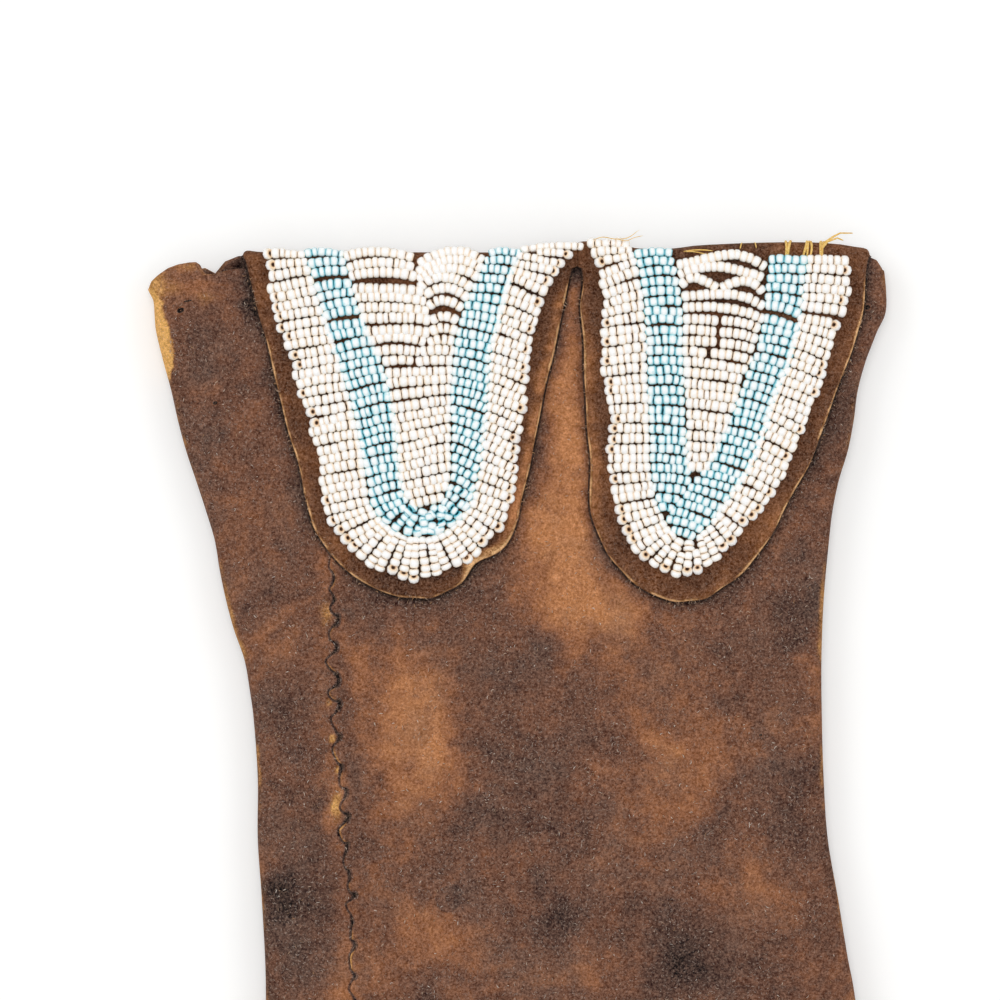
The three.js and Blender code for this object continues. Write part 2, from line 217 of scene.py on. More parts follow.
def numbered_curve(points: Array, at: Array) -> Array:
    """Smooth curve through points in their order, at numbers of the points and shares between them."""
    return np.stack([curve_through(tuple(enumerate(column)), at) for column in points.T], axis=-1)


def ripples(x: Array, y: Array, length: float, seed: int, waves: int = 9) -> Array:
    """Soft uneven waves: the sum of sine waves with seeded directions, lengths and phases.

    Args:
        x: places across.
        y: places along.
        length: usual distance from crest to crest.
        seed: picks the waves.
        waves: how many are added.

    Returns:
        Heights of about -1 to 1, shaped as x.
    """
    rng = np.random.default_rng(seed)
    angle = rng.uniform(0.0, FULL_TURN, waves)
    pitch = FULL_TURN / (length * rng.uniform(0.65, 1.6, waves))
    phase = rng.uniform(0.0, FULL_TURN, waves)
    swing = (x[..., None] * np.cos(angle) + y[..., None] * np.sin(angle)) * pitch + phase
    return np.sin(swing).sum(axis=-1) / np.sqrt(2.0 * waves)


def grid_faces(rows: int, columns: int, around: bool) -> Array:
    """Quads of a grid of points that are numbered row by row.

    Args:
        rows: number of rows.
        columns: number of points in a row.
        around: True where the last column meets the first.

    Returns:
        Point numbers, four to a quad.
    """
    right = np.arange(columns if around else columns - 1)
    left_low = (np.arange(rows - 1)[:, None] * columns + right).ravel()
    right_low = (np.arange(rows - 1)[:, None] * columns + (right + 1) % columns).ravel()
    return np.stack([left_low, right_low, right_low + columns, left_low + columns], axis=1)


def fan_faces(ring: Array, hub: int) -> Array:
    """Triangles from each edge of a closed ring of points to one hub point."""
    return np.stack([np.roll(ring, -1), ring, np.full_like(ring, hub)], axis=1)


def capped_faces(rows: int, columns: int) -> list[Array]:
    """Faces of a closed tube: a grid of rings, and a fan at each end to a hub, the two hubs numbered last.

    Args:
        rows: number of rings.
        columns: points in a ring.

    Returns:
        Arrays of point numbers.
    """
    ring = np.arange(columns)
    hub = rows * columns
    ends = [fan_faces(ring, hub), fan_faces(ring[::-1] + hub - columns, hub + 1)]
    return [grid_faces(rows, columns, True), *ends]


def ring_faces(things: int, around: int, profile: int) -> Array:
    """Quads of ring-shaped things, each a closed profile turned all the way round its middle.

    Args:
        things: how many there are.
        around: number of profiles round each one.
        profile: points in a profile.

    Returns:
        Point numbers, four to a quad.
    """
    cell = np.arange(around * profile).reshape(around, profile)
    ahead = np.roll(cell, -1, axis=0)
    quad = np.stack([cell, np.roll(cell, -1, axis=1), np.roll(ahead, -1, axis=1), ahead], axis=-1)
    return (quad.reshape(1, -1, 4) + (np.arange(things) * cell.size)[:, None, None]).reshape(-1, 4)


def unit(vectors: Array) -> Array:
    """Vectors of the same directions and of length 1."""
    return vectors / np.maximum(np.linalg.norm(vectors, axis=-1, keepdims=True), 1e-9)


def spokes(run: Array, near_up: tuple[float, float, float], count: int) -> Array:
    """Directions square to each run, all the way round it, the first one nearly upwards.

    Args:
        run: directions of length 1 in the last axis.
        near_up: the direction to start from.
        count: how many to each run.

    Returns:
        Directions by run and spoke.
    """
    upward = np.array(near_up)
    up = unit(upward - run * (run @ upward)[..., None])
    turn = np.linspace(0.0, FULL_TURN, count, endpoint=False)[:, None]
    return up[..., None, :] * np.cos(turn) + np.cross(run, up)[..., None, :] * np.sin(turn)


def tubes(path: Array, radius: Array, sides: int) -> tuple[Array, list[Array]]:
    """A closed tube along each path: rings across the path, and pointed ends.

    Args:
        path: points by strand and place.
        radius: half thickness by strand and place.
        sides: points in a ring.

    Returns:
        Points and faces.
    """
    strands, places = path.shape[:2]
    run = unit(np.gradient(path, axis=1))
    spoke = spokes(run, (0.11, 0.07, 1.0), sides)
    rings = path[:, :, None] + spoke * radius[:, :, None, None]
    points = np.concatenate([rings.reshape(strands, -1, 3), path[:, :1], path[:, -1:]], axis=1)
    shift = (np.arange(strands) * points.shape[1])[:, None, None]
    blocks = capped_faces(places, sides)
    return points.reshape(-1, 3), [(block[None] + shift).reshape(-1, block.shape[1]) for block in blocks]


def placed(name: str, data: bpy.types.ID) -> Thing:
    """A new object at the frame's origin, linked into the scene.

    Args:
        name: its name.
        data: its mesh, lamp or camera.

    Returns:
        The object.
    """
    thing = bpy.data.objects.new(name, data)
    bpy.context.scene.collection.objects.link(thing)
    return thing


@dataclass(frozen=True)
class Datum:
    """Place of the mouth line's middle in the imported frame."""

    right_edge: float = 83.0
    bag_length: float = 360.0

    def to_frame(self, points: Array) -> Array:
        """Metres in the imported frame: the bag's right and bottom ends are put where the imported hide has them.

        Args:
            points: millimetres from the middle of the mouth line.

        Returns:
            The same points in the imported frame.
        """
        low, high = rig.box("bag_hide")
        shift = np.array([high.x - self.right_edge * MM, low.y + self.bag_length * MM, 0.0])
        return points * MM + shift


DATUM = Datum()


@dataclass
class Piece:
    """One visible piece: its mesh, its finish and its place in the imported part."""

    name: str
    slot: str
    stands_for: tuple[str, ...] = ()

    def build(
        self,
        points: Array,
        faces: list[Array],
        material: Material,
        values: dict[str, Array] | None = None,
        weld: bool = False,
    ) -> Thing:
        """Makes the object from whole arrays, its faces turned outwards by the sign of the enclosed volume.

        Args:
            points: millimetres from the middle of the mouth line, one row a point.
            faces: arrays of point numbers, each with one row a face.
            material: the finish.
            values: one number a point for each named attribute that the finish reads.
            weld: True to join points that lie on each other.

        Returns:
            The new object, which rides on the body.
        """
        mesh = bpy.data.meshes.new(self.name)
        polygons = [row for block in faces for row in block.tolist()]
        mesh.from_pydata(DATUM.to_frame(points).tolist(), [], polygons)
        for key, numbers in (values or {}).items():
            layer = mesh.attributes.new(key, "FLOAT", "POINT")
            layer.data.foreach_set("value", np.ascontiguousarray(numbers, dtype=np.float32))
        mesh.polygons.foreach_set("use_smooth", np.ones(len(mesh.polygons), dtype=bool))
        if self.volume(points, faces) < 0.0:
            mesh.flip_normals()
        if weld:
            self.join_doubles(mesh)
        mesh.validate()
        mesh.update()
        mesh.materials.append(material)
        thing = placed(self.name, mesh)
        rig.ride(thing, BODY)
        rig.slot(thing, self.slot)
        if self.stands_for:
            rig.replaces(thing, *self.stands_for)
        LOG.info("%s: %d points, %d faces", self.name, len(points), len(polygons))
        return thing

    @staticmethod
    def join_doubles(mesh: bpy.types.Mesh) -> None:
        """Joins points that lie within a thousandth of a millimetre of each other.

        Args:
            mesh: the mesh to join.
        """
        work = bmesh.new()
        work.from_mesh(mesh)
        bmesh.ops.remove_doubles(work, verts=work.verts, dist=0.001 * MM)
        work.to_mesh(mesh)
        work.free()

    @staticmethod
    def volume(points: Array, faces: list[Array]) -> float:
        """Enclosed volume: a·(b × c) / 6 summed over all triangles, negative where they face inwards.

        Args:
            points: the mesh's points.
            faces: arrays of point numbers.

        Returns:
            Cubic millimetres.
        """
        total = 0.0
        for block in faces:
            for last in range(2, block.shape[1]):
                a, b, c = points[block[:, 0]], points[block[:, last - 1]], points[block[:, last]]
                total += float(np.einsum("ij,ij->", a, np.cross(b, c))) / 6.0
        return total


class NodeBoard:
    """The nodes of one material or of the world, laid one after another."""

    def __init__(self, owner: bpy.types.ID) -> None:
        """Empties the owner's node tree.

        Args:
            owner: the new material or world.
        """
        owner.use_nodes = True
        self.owner = owner
        self.tree = owner.node_tree
        self.tree.nodes.clear()

    def add(self, kind: str, inputs: dict | None = None, **settings: object) -> bpy.types.Node:
        """Adds a node.

        Args:
            kind: Blender's name of the node type.
            inputs: for each input, a socket to link or a number or colour to set.
            settings: the node's own properties.

        Returns:
            The new node.
        """
        node = self.tree.nodes.new(kind)
        for key, value in settings.items():
            setattr(node, key, value)
        for key, value in (inputs or {}).items():
            if isinstance(value, Socket):
                self.tree.links.new(value, node.inputs[key])
            else:
                node.inputs[key].default_value = value
        return node

    def place(self) -> Socket:
        """Object coordinates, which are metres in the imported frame."""
        return self.add("ShaderNodeTexCoord").outputs["Object"]

    def value(self, name: str) -> Socket:
        """The piece's own attribute of that name."""
        return self.add("ShaderNodeAttribute", attribute_name=name).outputs["Fac"]

    def noise(self, scale: float, detail: float, roughness: float, twist: float = 0.0) -> Socket:
        """Cloudy noise of about 0 to 1, from its clouds to a metre, finer layers, their weight and twist."""
        inputs = {"Scale": scale, "Detail": detail, "Roughness": roughness, "Distortion": twist}
        return self.add("ShaderNodeTexNoise", {"Vector": self.place(), **inputs}).outputs[0]

    def sum(self, operation: str, a: object, b: object, clamp: bool = False) -> Socket:
        """One sum of two sockets or numbers, by Blender's name of it, kept from 0 to 1 where asked."""
        return self.add("ShaderNodeMath", {0: a, 1: b}, operation=operation, use_clamp=clamp).outputs[0]

    def times(self, a: object, b: object, clamp: bool = False) -> Socket:
        """Product of two sockets or numbers, kept from 0 to 1 where asked."""
        return self.sum("MULTIPLY", a, b, clamp)

    def more(self, number: Socket, weight: float, base: Socket) -> Socket:
        """number × weight + base."""
        inputs = {0: number, 1: weight, 2: base}
        return self.add("ShaderNodeMath", inputs, operation="MULTIPLY_ADD").outputs[0]

    def step(self, value: Socket, low: float, high: float) -> Socket:
        """Eased step of a number from 0 at low to 1 at high."""
        inputs = {"Value": value, "From Min": low, "From Max": high}
        return self.add("ShaderNodeMapRange", inputs, interpolation_type="SMOOTHSTEP").outputs[0]

    def span(self, noise: Socket, low: float, high: float) -> Socket:
        """A noise's usual range, 0.3 to 0.7, drawn out to run from low to high."""
        inputs = {"Value": noise, "From Min": 0.3, "From Max": 0.7, "To Min": low, "To Max": high}
        return self.add("ShaderNodeMapRange", inputs).outputs[0]

    def ramp(self, value: Socket, stops: tuple[tuple[float, Colour], ...]) -> Socket:
        """Colour picked by a number.

        Args:
            value: the number.
            stops: (number, colour) pairs in rising order.

        Returns:
            The colour.
        """
        node = self.add("ShaderNodeValToRGB", {"Fac": value})
        elements = node.color_ramp.elements
        for _ in stops[2:]:
            elements.new(0.5)
        for element, (position, _) in zip(elements, stops):
            element.position = position
        for element, (_, colour) in zip(elements, stops):
            element.color = (*colour, 1.0)
        return node.outputs["Color"]

    def mix(self, share: object, a: object, b: object, blend: str = "MIX") -> Socket:
        """Blend of two colours.

        Args:
            share: socket or number, 0 for the first colour.
            a: first colour.
            b: second colour.
            blend: Blender's name of the blend.

        Returns:
            The blended colour.
        """
        first, second = [c if isinstance(c, Socket) else (*c, 1.0) for c in (a, b)]
        settings = {"data_type": "RGBA", "blend_type": blend, "clamp_factor": True}
        return self.add("ShaderNodeMix", {0: share, 6: first, 7: second}, **settings).outputs[2]

    def bump(self, height: Socket, strength: float, distance: float) -> Socket:
        """Normal of a surface that is raised by a number, as many metres as distance for a number of 1."""
        inputs = {"Height": height, "Strength": strength, "Distance": distance}
        return self.add("ShaderNodeBump", inputs).outputs[0]

    def surface(self, **inputs: object) -> Material:
        """Closes the material with one surface shader.

        Args:
            inputs: the shader's inputs, with underscores for the spaces in their names.

        Returns:
            The finished material.
        """
        named = {key.replace("_", " "): value for key, value in inputs.items()}
        shader = self.add("ShaderNodeBsdfPrincipled", named)
        self.add("ShaderNodeOutputMaterial", {"Surface": shader.outputs[0]})
        return self.owner


@dataclass(frozen=True)
class HideFinish:
    """Old smoked suede: clouded browns, a fibrous nap, pale loose fibres and golden rubbed edges."""

    name: str
    pit: Colour = (0.010, 0.006, 0.005)
    deep: Colour = (0.052, 0.030, 0.024)
    umber: Colour = (0.102, 0.052, 0.037)
    brown: Colour = (0.170, 0.076, 0.046)
    rust: Colour = (0.285, 0.116, 0.055)
    gold: Colour = (0.490, 0.206, 0.084)
    brown_levels: tuple[float, ...] = (0.0, 0.25, 0.42, 0.56, 0.70, 0.90)
    cloud_scale: float = 42.0
    mottle_scale: float = 260.0
    nap_scale: float = 1900.0
    tan: Colour = (0.330, 0.150, 0.055)
    rubbed: Colour = (0.740, 0.400, 0.125)
    grain: Colour = (0.075, 0.049, 0.035)
    grain_gain: float = 8.0
    dust: Colour = (0.420, 0.325, 0.270)
    dustiness: float = 0.80
    bloom: Colour = (0.128, 0.088, 0.071)
    bloom_share: float = 0.28
    # Cells to a metre, half length, half width and bare share of each scatter of fibres.
    strewn: Table = (
        (760, 0.26, 0.10, 0.2), (560, 0.38, 0.11, 0.3), (1050, 0.20, 0.10, 0.2),
    )
    fibre_bend: float = 1000.0

    def material(self) -> Material:
        """Browns picked by clouds, a mottle and the piece's tone attribute, which also holds painted shade, under
        bloom, wear, grain and lint.

        Returns:
            The suede material.
        """
        board = NodeBoard(bpy.data.materials.new(self.name))
        cloud = board.noise(self.cloud_scale, 7.0, 0.68, 0.5)
        mottle = board.noise(self.mottle_scale, 4.0, 0.7)
        nap = board.noise(self.nap_scale, 3.0, 0.9)
        level = board.more(cloud, 0.85, board.times(mottle, 0.40))
        # The tone attribute holds the smoke's patches and also painted shade beside and under the flaps, along the
        # seam and in the awl holes.
        level = board.sum("ADD", board.sum("SUBTRACT", level, 0.09), board.value("tone"))
        browns = (self.pit, self.deep, self.umber, self.brown, self.rust, self.gold)
        colour = board.ramp(level, tuple(zip(self.brown_levels, browns)))
        bloom = board.step(board.noise(75.0, 3.0, 0.6), 0.46, 0.70)
        colour = board.mix(board.times(bloom, self.bloom_share), colour, self.bloom)
        rub = board.value("rub")
        worn = board.more(nap, 0.7, board.sum("SUBTRACT", rub, 0.95))
        worn = board.more(mottle, 1.2, worn)
        bared = board.step(rub, 0.0, 0.35)
        colour = board.mix(board.times(board.step(worn, -0.15, 0.35), bared), colour, self.tan)
        colour = board.mix(board.times(board.step(worn, 0.2, 0.9), bared), colour, self.rubbed)
        fine = board.more(nap, 0.75, board.times(board.noise(1000.0, 2.0, 0.8), 0.25))
        rise = board.sum("SUBTRACT", fine, 0.5)
        colour = board.mix(board.times(rise, self.grain_gain, clamp=True), colour, self.grain, "ADD")
        colour = board.mix(board.times(rise, -self.grain_gain, clamp=True), colour, self.grain, "SUBTRACT")
        light = board.sum("ADD", board.times(rise, 2.0), 1.0)
        colour = board.add("ShaderNodeHueSaturation", {"Color": colour, "Value": light}).outputs[0]
        lint = self.lint(board, level)
        colour = board.mix(board.times(lint, self.dustiness), colour, self.dust)
        height = board.more(nap, 0.6, board.times(mottle, 0.8))
        height = board.more(lint, 0.35, height)
        return board.surface(
            Base_Color=colour,
            Roughness=board.span(mottle, 0.98, 0.82),
            Normal=board.bump(height, 0.8, 0.0004),
            Specular_IOR_Level=0.12,
            Sheen_Weight=0.05,
            Sheen_Roughness=0.5,
            Sheen_Tint=(0.80, 0.60, 0.42, 1.0),
        )

    def lint(self, board: NodeBoard, level: Socket) -> Socket:
        """Strewn fibres: most in dusty areas of middling brown, and none on upright sides.

        Args:
            board: the material's nodes.
            level: the number that picks the brown.

        Returns:
            A number up to 1 on a fibre.
        """
        dim = board.times(board.step(level, 0.74, 0.40), board.step(level, 0.16, 0.30))
        areas = board.times(board.step(board.noise(65.0, 2.0, 0.5), 0.25, 0.62), dim)
        first, second, third = [self.fibres(board, *sizes) for sizes in self.strewn]
        strewn = board.sum("MAXIMUM", board.sum("MAXIMUM", first, second), third)
        facing = board.add("ShaderNodeNewGeometry").outputs["Normal"]
        upward = board.step(board.add("ShaderNodeSeparateXYZ", {0: facing}).outputs["Z"], 0.3, 0.8)
        dusty = board.sum("ADD", board.times(areas, 0.75), 0.25)
        return board.times(board.times(strewn, upward), dusty)

    def fibres(self, board: NodeBoard, cells: float, length: float, width: float, bare: float) -> Socket:
        """Short curled fibres: one in each cell of a scatter, turned and bent by the cell's own numbers.

        Args:
            board: the material's nodes.
            cells: cells to a metre.
            length: half a fibre's length in millimetres.
            width: half its width.
            bare: share of the cells that have none.

        Returns:
            A number up to 1 on a fibre.
        """
        place = board.place()
        cell = board.add("ShaderNodeTexVoronoi", {"Vector": place, "Scale": cells}, voronoi_dimensions="2D")
        middle = cell.outputs["Position"]
        away = board.add("ShaderNodeVectorMath", {0: place, 1: middle}, operation="SUBTRACT")
        chance = board.add("ShaderNodeSeparateColor", {0: cell.outputs["Color"]}).outputs
        turn = {"Vector": away.outputs[0], "Angle": board.times(chance[0], FULL_TURN)}
        turned = board.add("ShaderNodeVectorRotate", turn, rotation_type="Z_AXIS")
        x, y, _ = board.add("ShaderNodeSeparateXYZ", {0: turned.outputs[0]}).outputs
        bend = board.times(board.sum("SUBTRACT", chance[2], 0.5), self.fibre_bend)
        curl = board.times(board.times(x, x), bend)
        aside = board.sum("ABSOLUTE", board.sum("ADD", y, curl), 0.0)
        ahead = board.sum("ABSOLUTE", x, 0.0)
        thin = board.sum("SUBTRACT", 1.0, board.step(aside, 0.4 * width * MM, width * MM))
        short = board.sum("SUBTRACT", 1.0, board.step(ahead, 0.7 * length * MM, length * MM))
        return board.times(board.times(thin, short), board.step(chance[1], bare, 1.0))


@dataclass(frozen=True)
class BeadFinish:
    """Opaque glass beads of slightly uneven colour, with a painted highlight on top and painted shade at their warmer
    or deeper ends.
    """

    name: str
    pale: Colour
    usual: Colour
    strong: Colour
    # The end and hole colours are painted shade: in the grooves between beads and inside each hole.
    end: Colour
    hole: Colour
    highlight_share: float
    end_share: float = 1.1

    def material(self) -> Material:
        """Colour picked by each bead's own tint, with a painted highlight on its top, and painted shade: the end
        colour round its ends and the hole colour in its hole.

        Returns:
            The glass material.
        """
        board = NodeBoard(bpy.data.materials.new(self.name))
        tint = board.ramp(board.value("tint"), ((0.0, self.pale), (0.5, self.usual), (1.0, self.strong)))
        flow = board.noise(900.0, 2.0, 0.5)
        # Painted highlight: the upward side of each bead is turned pale, broken up by the noise.
        worn = board.times(board.times(board.value("highlight"), flow), self.highlight_share, clamp=True)
        colour = board.mix(worn, tint, self.pale)
        # Painted shade: the end colour in the grooves between beads, and the hole colour inside each hole.
        end = board.value("end")
        colour = board.mix(board.times(end, self.end_share, clamp=True), colour, self.end)
        colour = board.mix(board.step(end, 0.65, 0.95), colour, self.hole)
        return board.surface(
            Base_Color=colour,
            Roughness=board.span(flow, 0.18, 0.36),
            Normal=board.bump(flow, 0.15, 0.0002),
            Specular_IOR_Level=0.5,
        )


@dataclass(frozen=True)
class SinewFinish:
    """Dry split sinew: yellow strands with paler and browner fibres."""

    name: str
    brown: Colour = (0.460, 0.240, 0.055)
    yellow: Colour = (0.840, 0.530, 0.130)
    pale: Colour = (0.940, 0.770, 0.420)

    def material(self) -> Material:
        """Yellow picked by fine noise, with the same noise as fibres.

        Returns:
            The sinew material.
        """
        board = NodeBoard(bpy.data.materials.new(self.name))
        fibres = board.noise(2200.0, 4.0, 0.7, 0.5)
        colour = board.ramp(fibres, ((0.25, self.brown), (0.5, self.yellow), (0.75, self.pale)))
        normal = board.bump(fibres, 0.5, 0.0002)
        return board.surface(Base_Color=colour, Roughness=0.55, Normal=normal, Specular_IOR_Level=0.35)


class Slot(Enum):
    """The record's material slots, one for each kind of finish."""

    BAG = "bag_hide"
    CUFF = "cuff_hide"
    WHITE = "white_beads"
    BLUE = "blue_beads"
    SINEW = "sinew"


@dataclass
class BagHide:
    """The bag: one flat sewn tube of hide that lies on its back, with an open mouth and a wavy front seam."""

    length: float = 360.0
    height: float = 11.0
    hide: float = 1.4
    roundness: float = 5.0
    bottom_height: float = 5.6
    bottom_taper: float = 34.0
    bottom_pinch: float = 4.0
    stiff_bottom: float = 30.0
    rim_bulge: float = 0.5
    rim_level: float = 4.0
    least_gap: float = 0.3
    lining_short: float = 3.0
    fold_bulge: tuple[float, float] = (0.25, 0.45)
    back_middle: float = -1.8
    back_reach: float = 82.0
    broad_wave: float = 0.5
    small_wave: float = 0.16
    under_flaps: tuple[float, float] = (66.0, 92.0)
    pressed_flat: float = 0.75
    pressed_in: float = 0.25
    sag: float = 1.1
    sag_middle: float = 190.0
    sag_spread: float = 75.0
    seam_swell: float = 0.3
    seam_width: float = 2.4
    roll_height: float = 7.0
    roll_middle: float = -64.0
    roll_half: float = 4.5
    roll_depth: float = 5.0
    # Strength and width of the bells of painted shadow beside the flaps.
    shadow_bells: Points = ((0.14, 1.2), (0.08, 3.2))
    # Depth beyond which no painted shadow is added.
    shadow_bottom: float = 95.0
    fold_rub: float = 0.92
    side_rub: float = 0.34
    rim_rub: float = 0.16
    lining_dark: float = 0.12
    mouth_rings: int = 22
    left_columns: int = 58
    seam_columns: tuple[float, ...] = (0.4, 0.9, 1.5, 2.3, 3.3, 4.4)
    right_columns: int = 128
    back_columns: int = 56
    # Depth and x of the measured edges.
    left_edge: Points = (
        (0, -84), (6.7, -83.6), (9.3, -82.4), (12.7, -82.1), (16, -81.8), (22.7, -80.2), (29.3, -78.4),
        (36, -76.9), (42.7, -75.1), (49.3, -72.9), (56, -70.7), (62.7, -68.7), (69.3, -67.6), (76, -66.2),
        (82.7, -64.4), (89.3, -62.1), (96, -60.9), (102.7, -60), (116, -59.1), (129.3, -59.1),
        (142.7, -58.2), (162.7, -57.3), (250, -57.8), (360, -60),
    )
    right_edge: Points = (
        (0, 79.4), (2.7, 79.9), (9.3, 80.4), (12.7, 80), (16, 78.4), (19.3, 77.1), (22.7, 75.8),
        (29.3, 74), (36, 73.1), (42.7, 71.8), (49.3, 69.8), (56, 68.4), (62.7, 67.6), (76, 66.4),
        (89.3, 65.9), (102.7, 66), (116, 66.4), (129.3, 67.3), (142.7, 69.6), (156, 71.8), (162.7, 73.1),
        (210, 79.5), (280, 82), (360, 83),
    )
    # x and depth of the mouth's rim, in front and behind.
    front_rim: Points = (
        (-84, 6.9), (-83.2, 5.4), (-81.6, 4), (-79.5, 2.6), (-77.3, 1.8), (-75, 1.4), (-73.3, 1.3),
        (-72.6, 2), (-71.8, 3.9), (-69.3, 4), (-66.2, 3.1), (-62.9, 2.7), (-58, 2.5), (70, 2.5), (74, 1.4),
        (76.7, 0.3), (78, 0.2), (79.2, 0.7), (80.2, 2.9),
    )
    back_rim: Points = (
        (-84, 6.9), (-80, 5), (-76, 3.2), (-73, 2.6), (-71.8, 2.3), (-70, 3.4), (-68.8, 3.9), (-67.6, 2.4),
        (-66.5, 1), (-65.2, 0.2), (-62.9, -0.2), (-58, 0), (60, 0), (76, 0.3), (79, 0.8), (80.2, 2.9),
    )
    # Depth and x of the front seam.
    seam_line: Points = (
        (0, -46), (40, -44.2), (70, -42.4), (90, -42.4), (98, -42), (106, -41.5), (113, -41), (121, -40),
        (128, -40), (135, -39.4), (142, -38.4), (158, -38.1), (250, -34), (360, -28.6),
    )
    # x, depth, half width, half depth and strength of each spot.
    rubbed_spots: Table = (
        (-41.5, 121.8, 1.2, 3.2, 0.50), (-42.1, 121.8, 0.8, 1.6, 0.78), (-43.3, 98.7, 0.7, 0.9, 0.5),
        (-42.6, 106.9, 0.8, 0.8, 0.75), (-41.2, 113.8, 0.7, 0.9, 0.75), (-44, 79, 1.4, 3.6, 0.34),
        (-43.6, 89.6, 0.7, 1, 0.3), (-82, 6, 3, 4, 0.46),
    )
    # Depth and width of the rubbed band on the left fold.
    rubbed_fold: Points = (
        (5, 0), (8, 1.3), (10.4, 2), (13.6, 2.3), (16, 3.2), (19.2, 3.2), (21.6, 2.4), (23.9, 1.4),
        (26.3, 0.5), (29, 0),
    )
    # x, depth, half width, half depth and tone of each patch. The three on the last line are painted shade: dark
    # beside the left flap's top corner and at the top of the notch, and a lighter one that eases the painted shadow
    # lower down the notch.
    patches: Table = (
        (10, 44, 7, 30, 0.32), (9, 62, 8, 9, 0.19), (17, 79, 12, 9, 0.30), (-25, 100, 9, 18, 0.26),
        (-20, 151, 9, 7, 0.19), (54, 140, 12, 13, 0.08), (30, 115, 14, 9, 0.12),
        (-62, 66, 7, 10, 0.08), (-42, 122, 2.2, 5, 0.22), (65, 100, 4, 16, 0.10),
        (-27, 134, 8, 8, 0.08), (-72, 17, 6, 8, -0.16), (-53.5, 141, 5.5, 6, -0.29),
        (-52, 105, 5, 12, -0.12), (-10, 86, 8, 8, -0.03), (2, 110, 12, 8, 0.01),
        (44, 90, 12, 8, -0.03), (58, 82, 5, 10, -0.10), (34, 158, 12, 7, -0.20),
        (-4, 124, 10, 7, -0.10), (6, 147, 8, 8, -0.26), (-50, 157, 7, 7, -0.20),
        (57, 154, 8, 8, -0.08), (-66, 4, 4, 3, -0.06), (-60, 35, 5, 18, 0.06),
        (-60.5, 11, 2.6, 8, -0.30), (11.4, 2.8, 4, 2.8, -0.34), (11, 14, 3.5, 12, 0.20),
    )

    def edges(self, down: Array) -> tuple[Array, Array]:
        """x of the left and right edges: smooth curves through measured points, and the folds' bulge."""
        left, right = self.fold_bulge
        return curve_through(self.left_edge, down) - left, curve_through(self.right_edge, down) + right

    def thickness(self, down: Array) -> Array:
        """Height of the flat tube: level, then a quarter cosine down to the bottom, pinched to a sewn edge.

        Args:
            down: distances from the mouth line.

        Returns:
            Heights over the table.
        """
        fall = np.clip((down - self.length + self.bottom_taper) / self.bottom_taper, 0.0, 1.0)
        level = self.bottom_height + (self.height - self.bottom_height) * np.cos(fall * np.pi / 2.0)
        pinch = np.clip((down - self.length + self.bottom_pinch) / self.bottom_pinch, 0.0, 0.99)
        return level * np.sqrt(1.0 - 0.96 * pinch**2)

    def seam_at(self, down: Array) -> Array:
        """x of the middle of the front seam, a smooth curve through measured points."""
        return curve_through(self.seam_line, down)

    def share(self, x: Array, down: Array, inset: float = 0.0) -> tuple[Array, Array]:
        """How far up the fold a point is: (1 - |t|^n)^(1/n), t being -1 at the left edge and 1 at the right.

        Args:
            x: places across.
            down: distances from the mouth line.
            inset: how far inside the outer edges.

        Returns:
            t and the share from 0 at the edges to 1 between them.
        """
        left, right = self.edges(down)
        t = np.clip((2.0 * x - left - right) / (right - left - 2.0 * inset), -1.0, 1.0)
        return t, (1.0 - np.abs(t) ** self.roundness) ** (1.0 / self.roundness)

    def front(self, x: Array, down: Array) -> Array:
        """Height of the front wall: the rounded tube, soft waves, a sag, and a swell along the seam.

        Args:
            x: places across.
            down: distances from the mouth line.

        Returns:
            Heights over the table.
        """
        t, share = self.share(x, down)
        soft = share**4 * np.clip((self.length - down) / self.stiff_bottom, 0.0, 1.0)
        rise = self.thickness(down) * (1.0 + share) / 2.0
        waves = self.broad_wave * ripples(x, down, 38.0, 3) + self.small_wave * ripples(x, down, 11.0, 4)
        pressed = 1.0 - smooth_step(*self.under_flaps, down)
        rise = rise + soft * (waves * (1.0 - self.pressed_flat * pressed) - self.pressed_in * pressed)
        rise = rise - soft * self.sag * bell((down - self.sag_middle) / self.sag_spread) * (1.0 - t * t)
        away = x - self.seam_at(down)
        return rise + soft * self.seam_swell * bell(away / self.seam_width)

    def lay(self, flat: Array, rise: Array) -> Array:
        """Points over the front wall, from x and depth in the last axis and heights over the wall."""
        x, down = np.moveaxis(flat, -1, 0)
        return np.stack([x, -down, self.front(x, down) + rise], axis=-1)

    def tone(self, x: Array, down: Array) -> Array:
        """Warmer and darker patches of the smoke, and a few of painted shade by the flaps' tops: a sum of soft spots
        whose outlines are bent by ripples.

        Args:
            x: places across.
            down: distances from the mouth line.

        Returns:
            Tone, above 0 where the hide is warmer.
        """
        across, along, wide, deep, weight = np.array(self.patches).T
        right = x + 2.2 * ripples(x, down, 13.0, 61) + ripples(x, down, 5.0, 62)
        below = down + 2.2 * ripples(x, down, 13.0, 63) + ripples(x, down, 5.0, 64)
        spots = bell((right[..., None] - across) / wide, (below[..., None] - along) / deep)
        return (spots * weight).sum(axis=-1) + 0.05 * ripples(x, down, 30.0, 5)

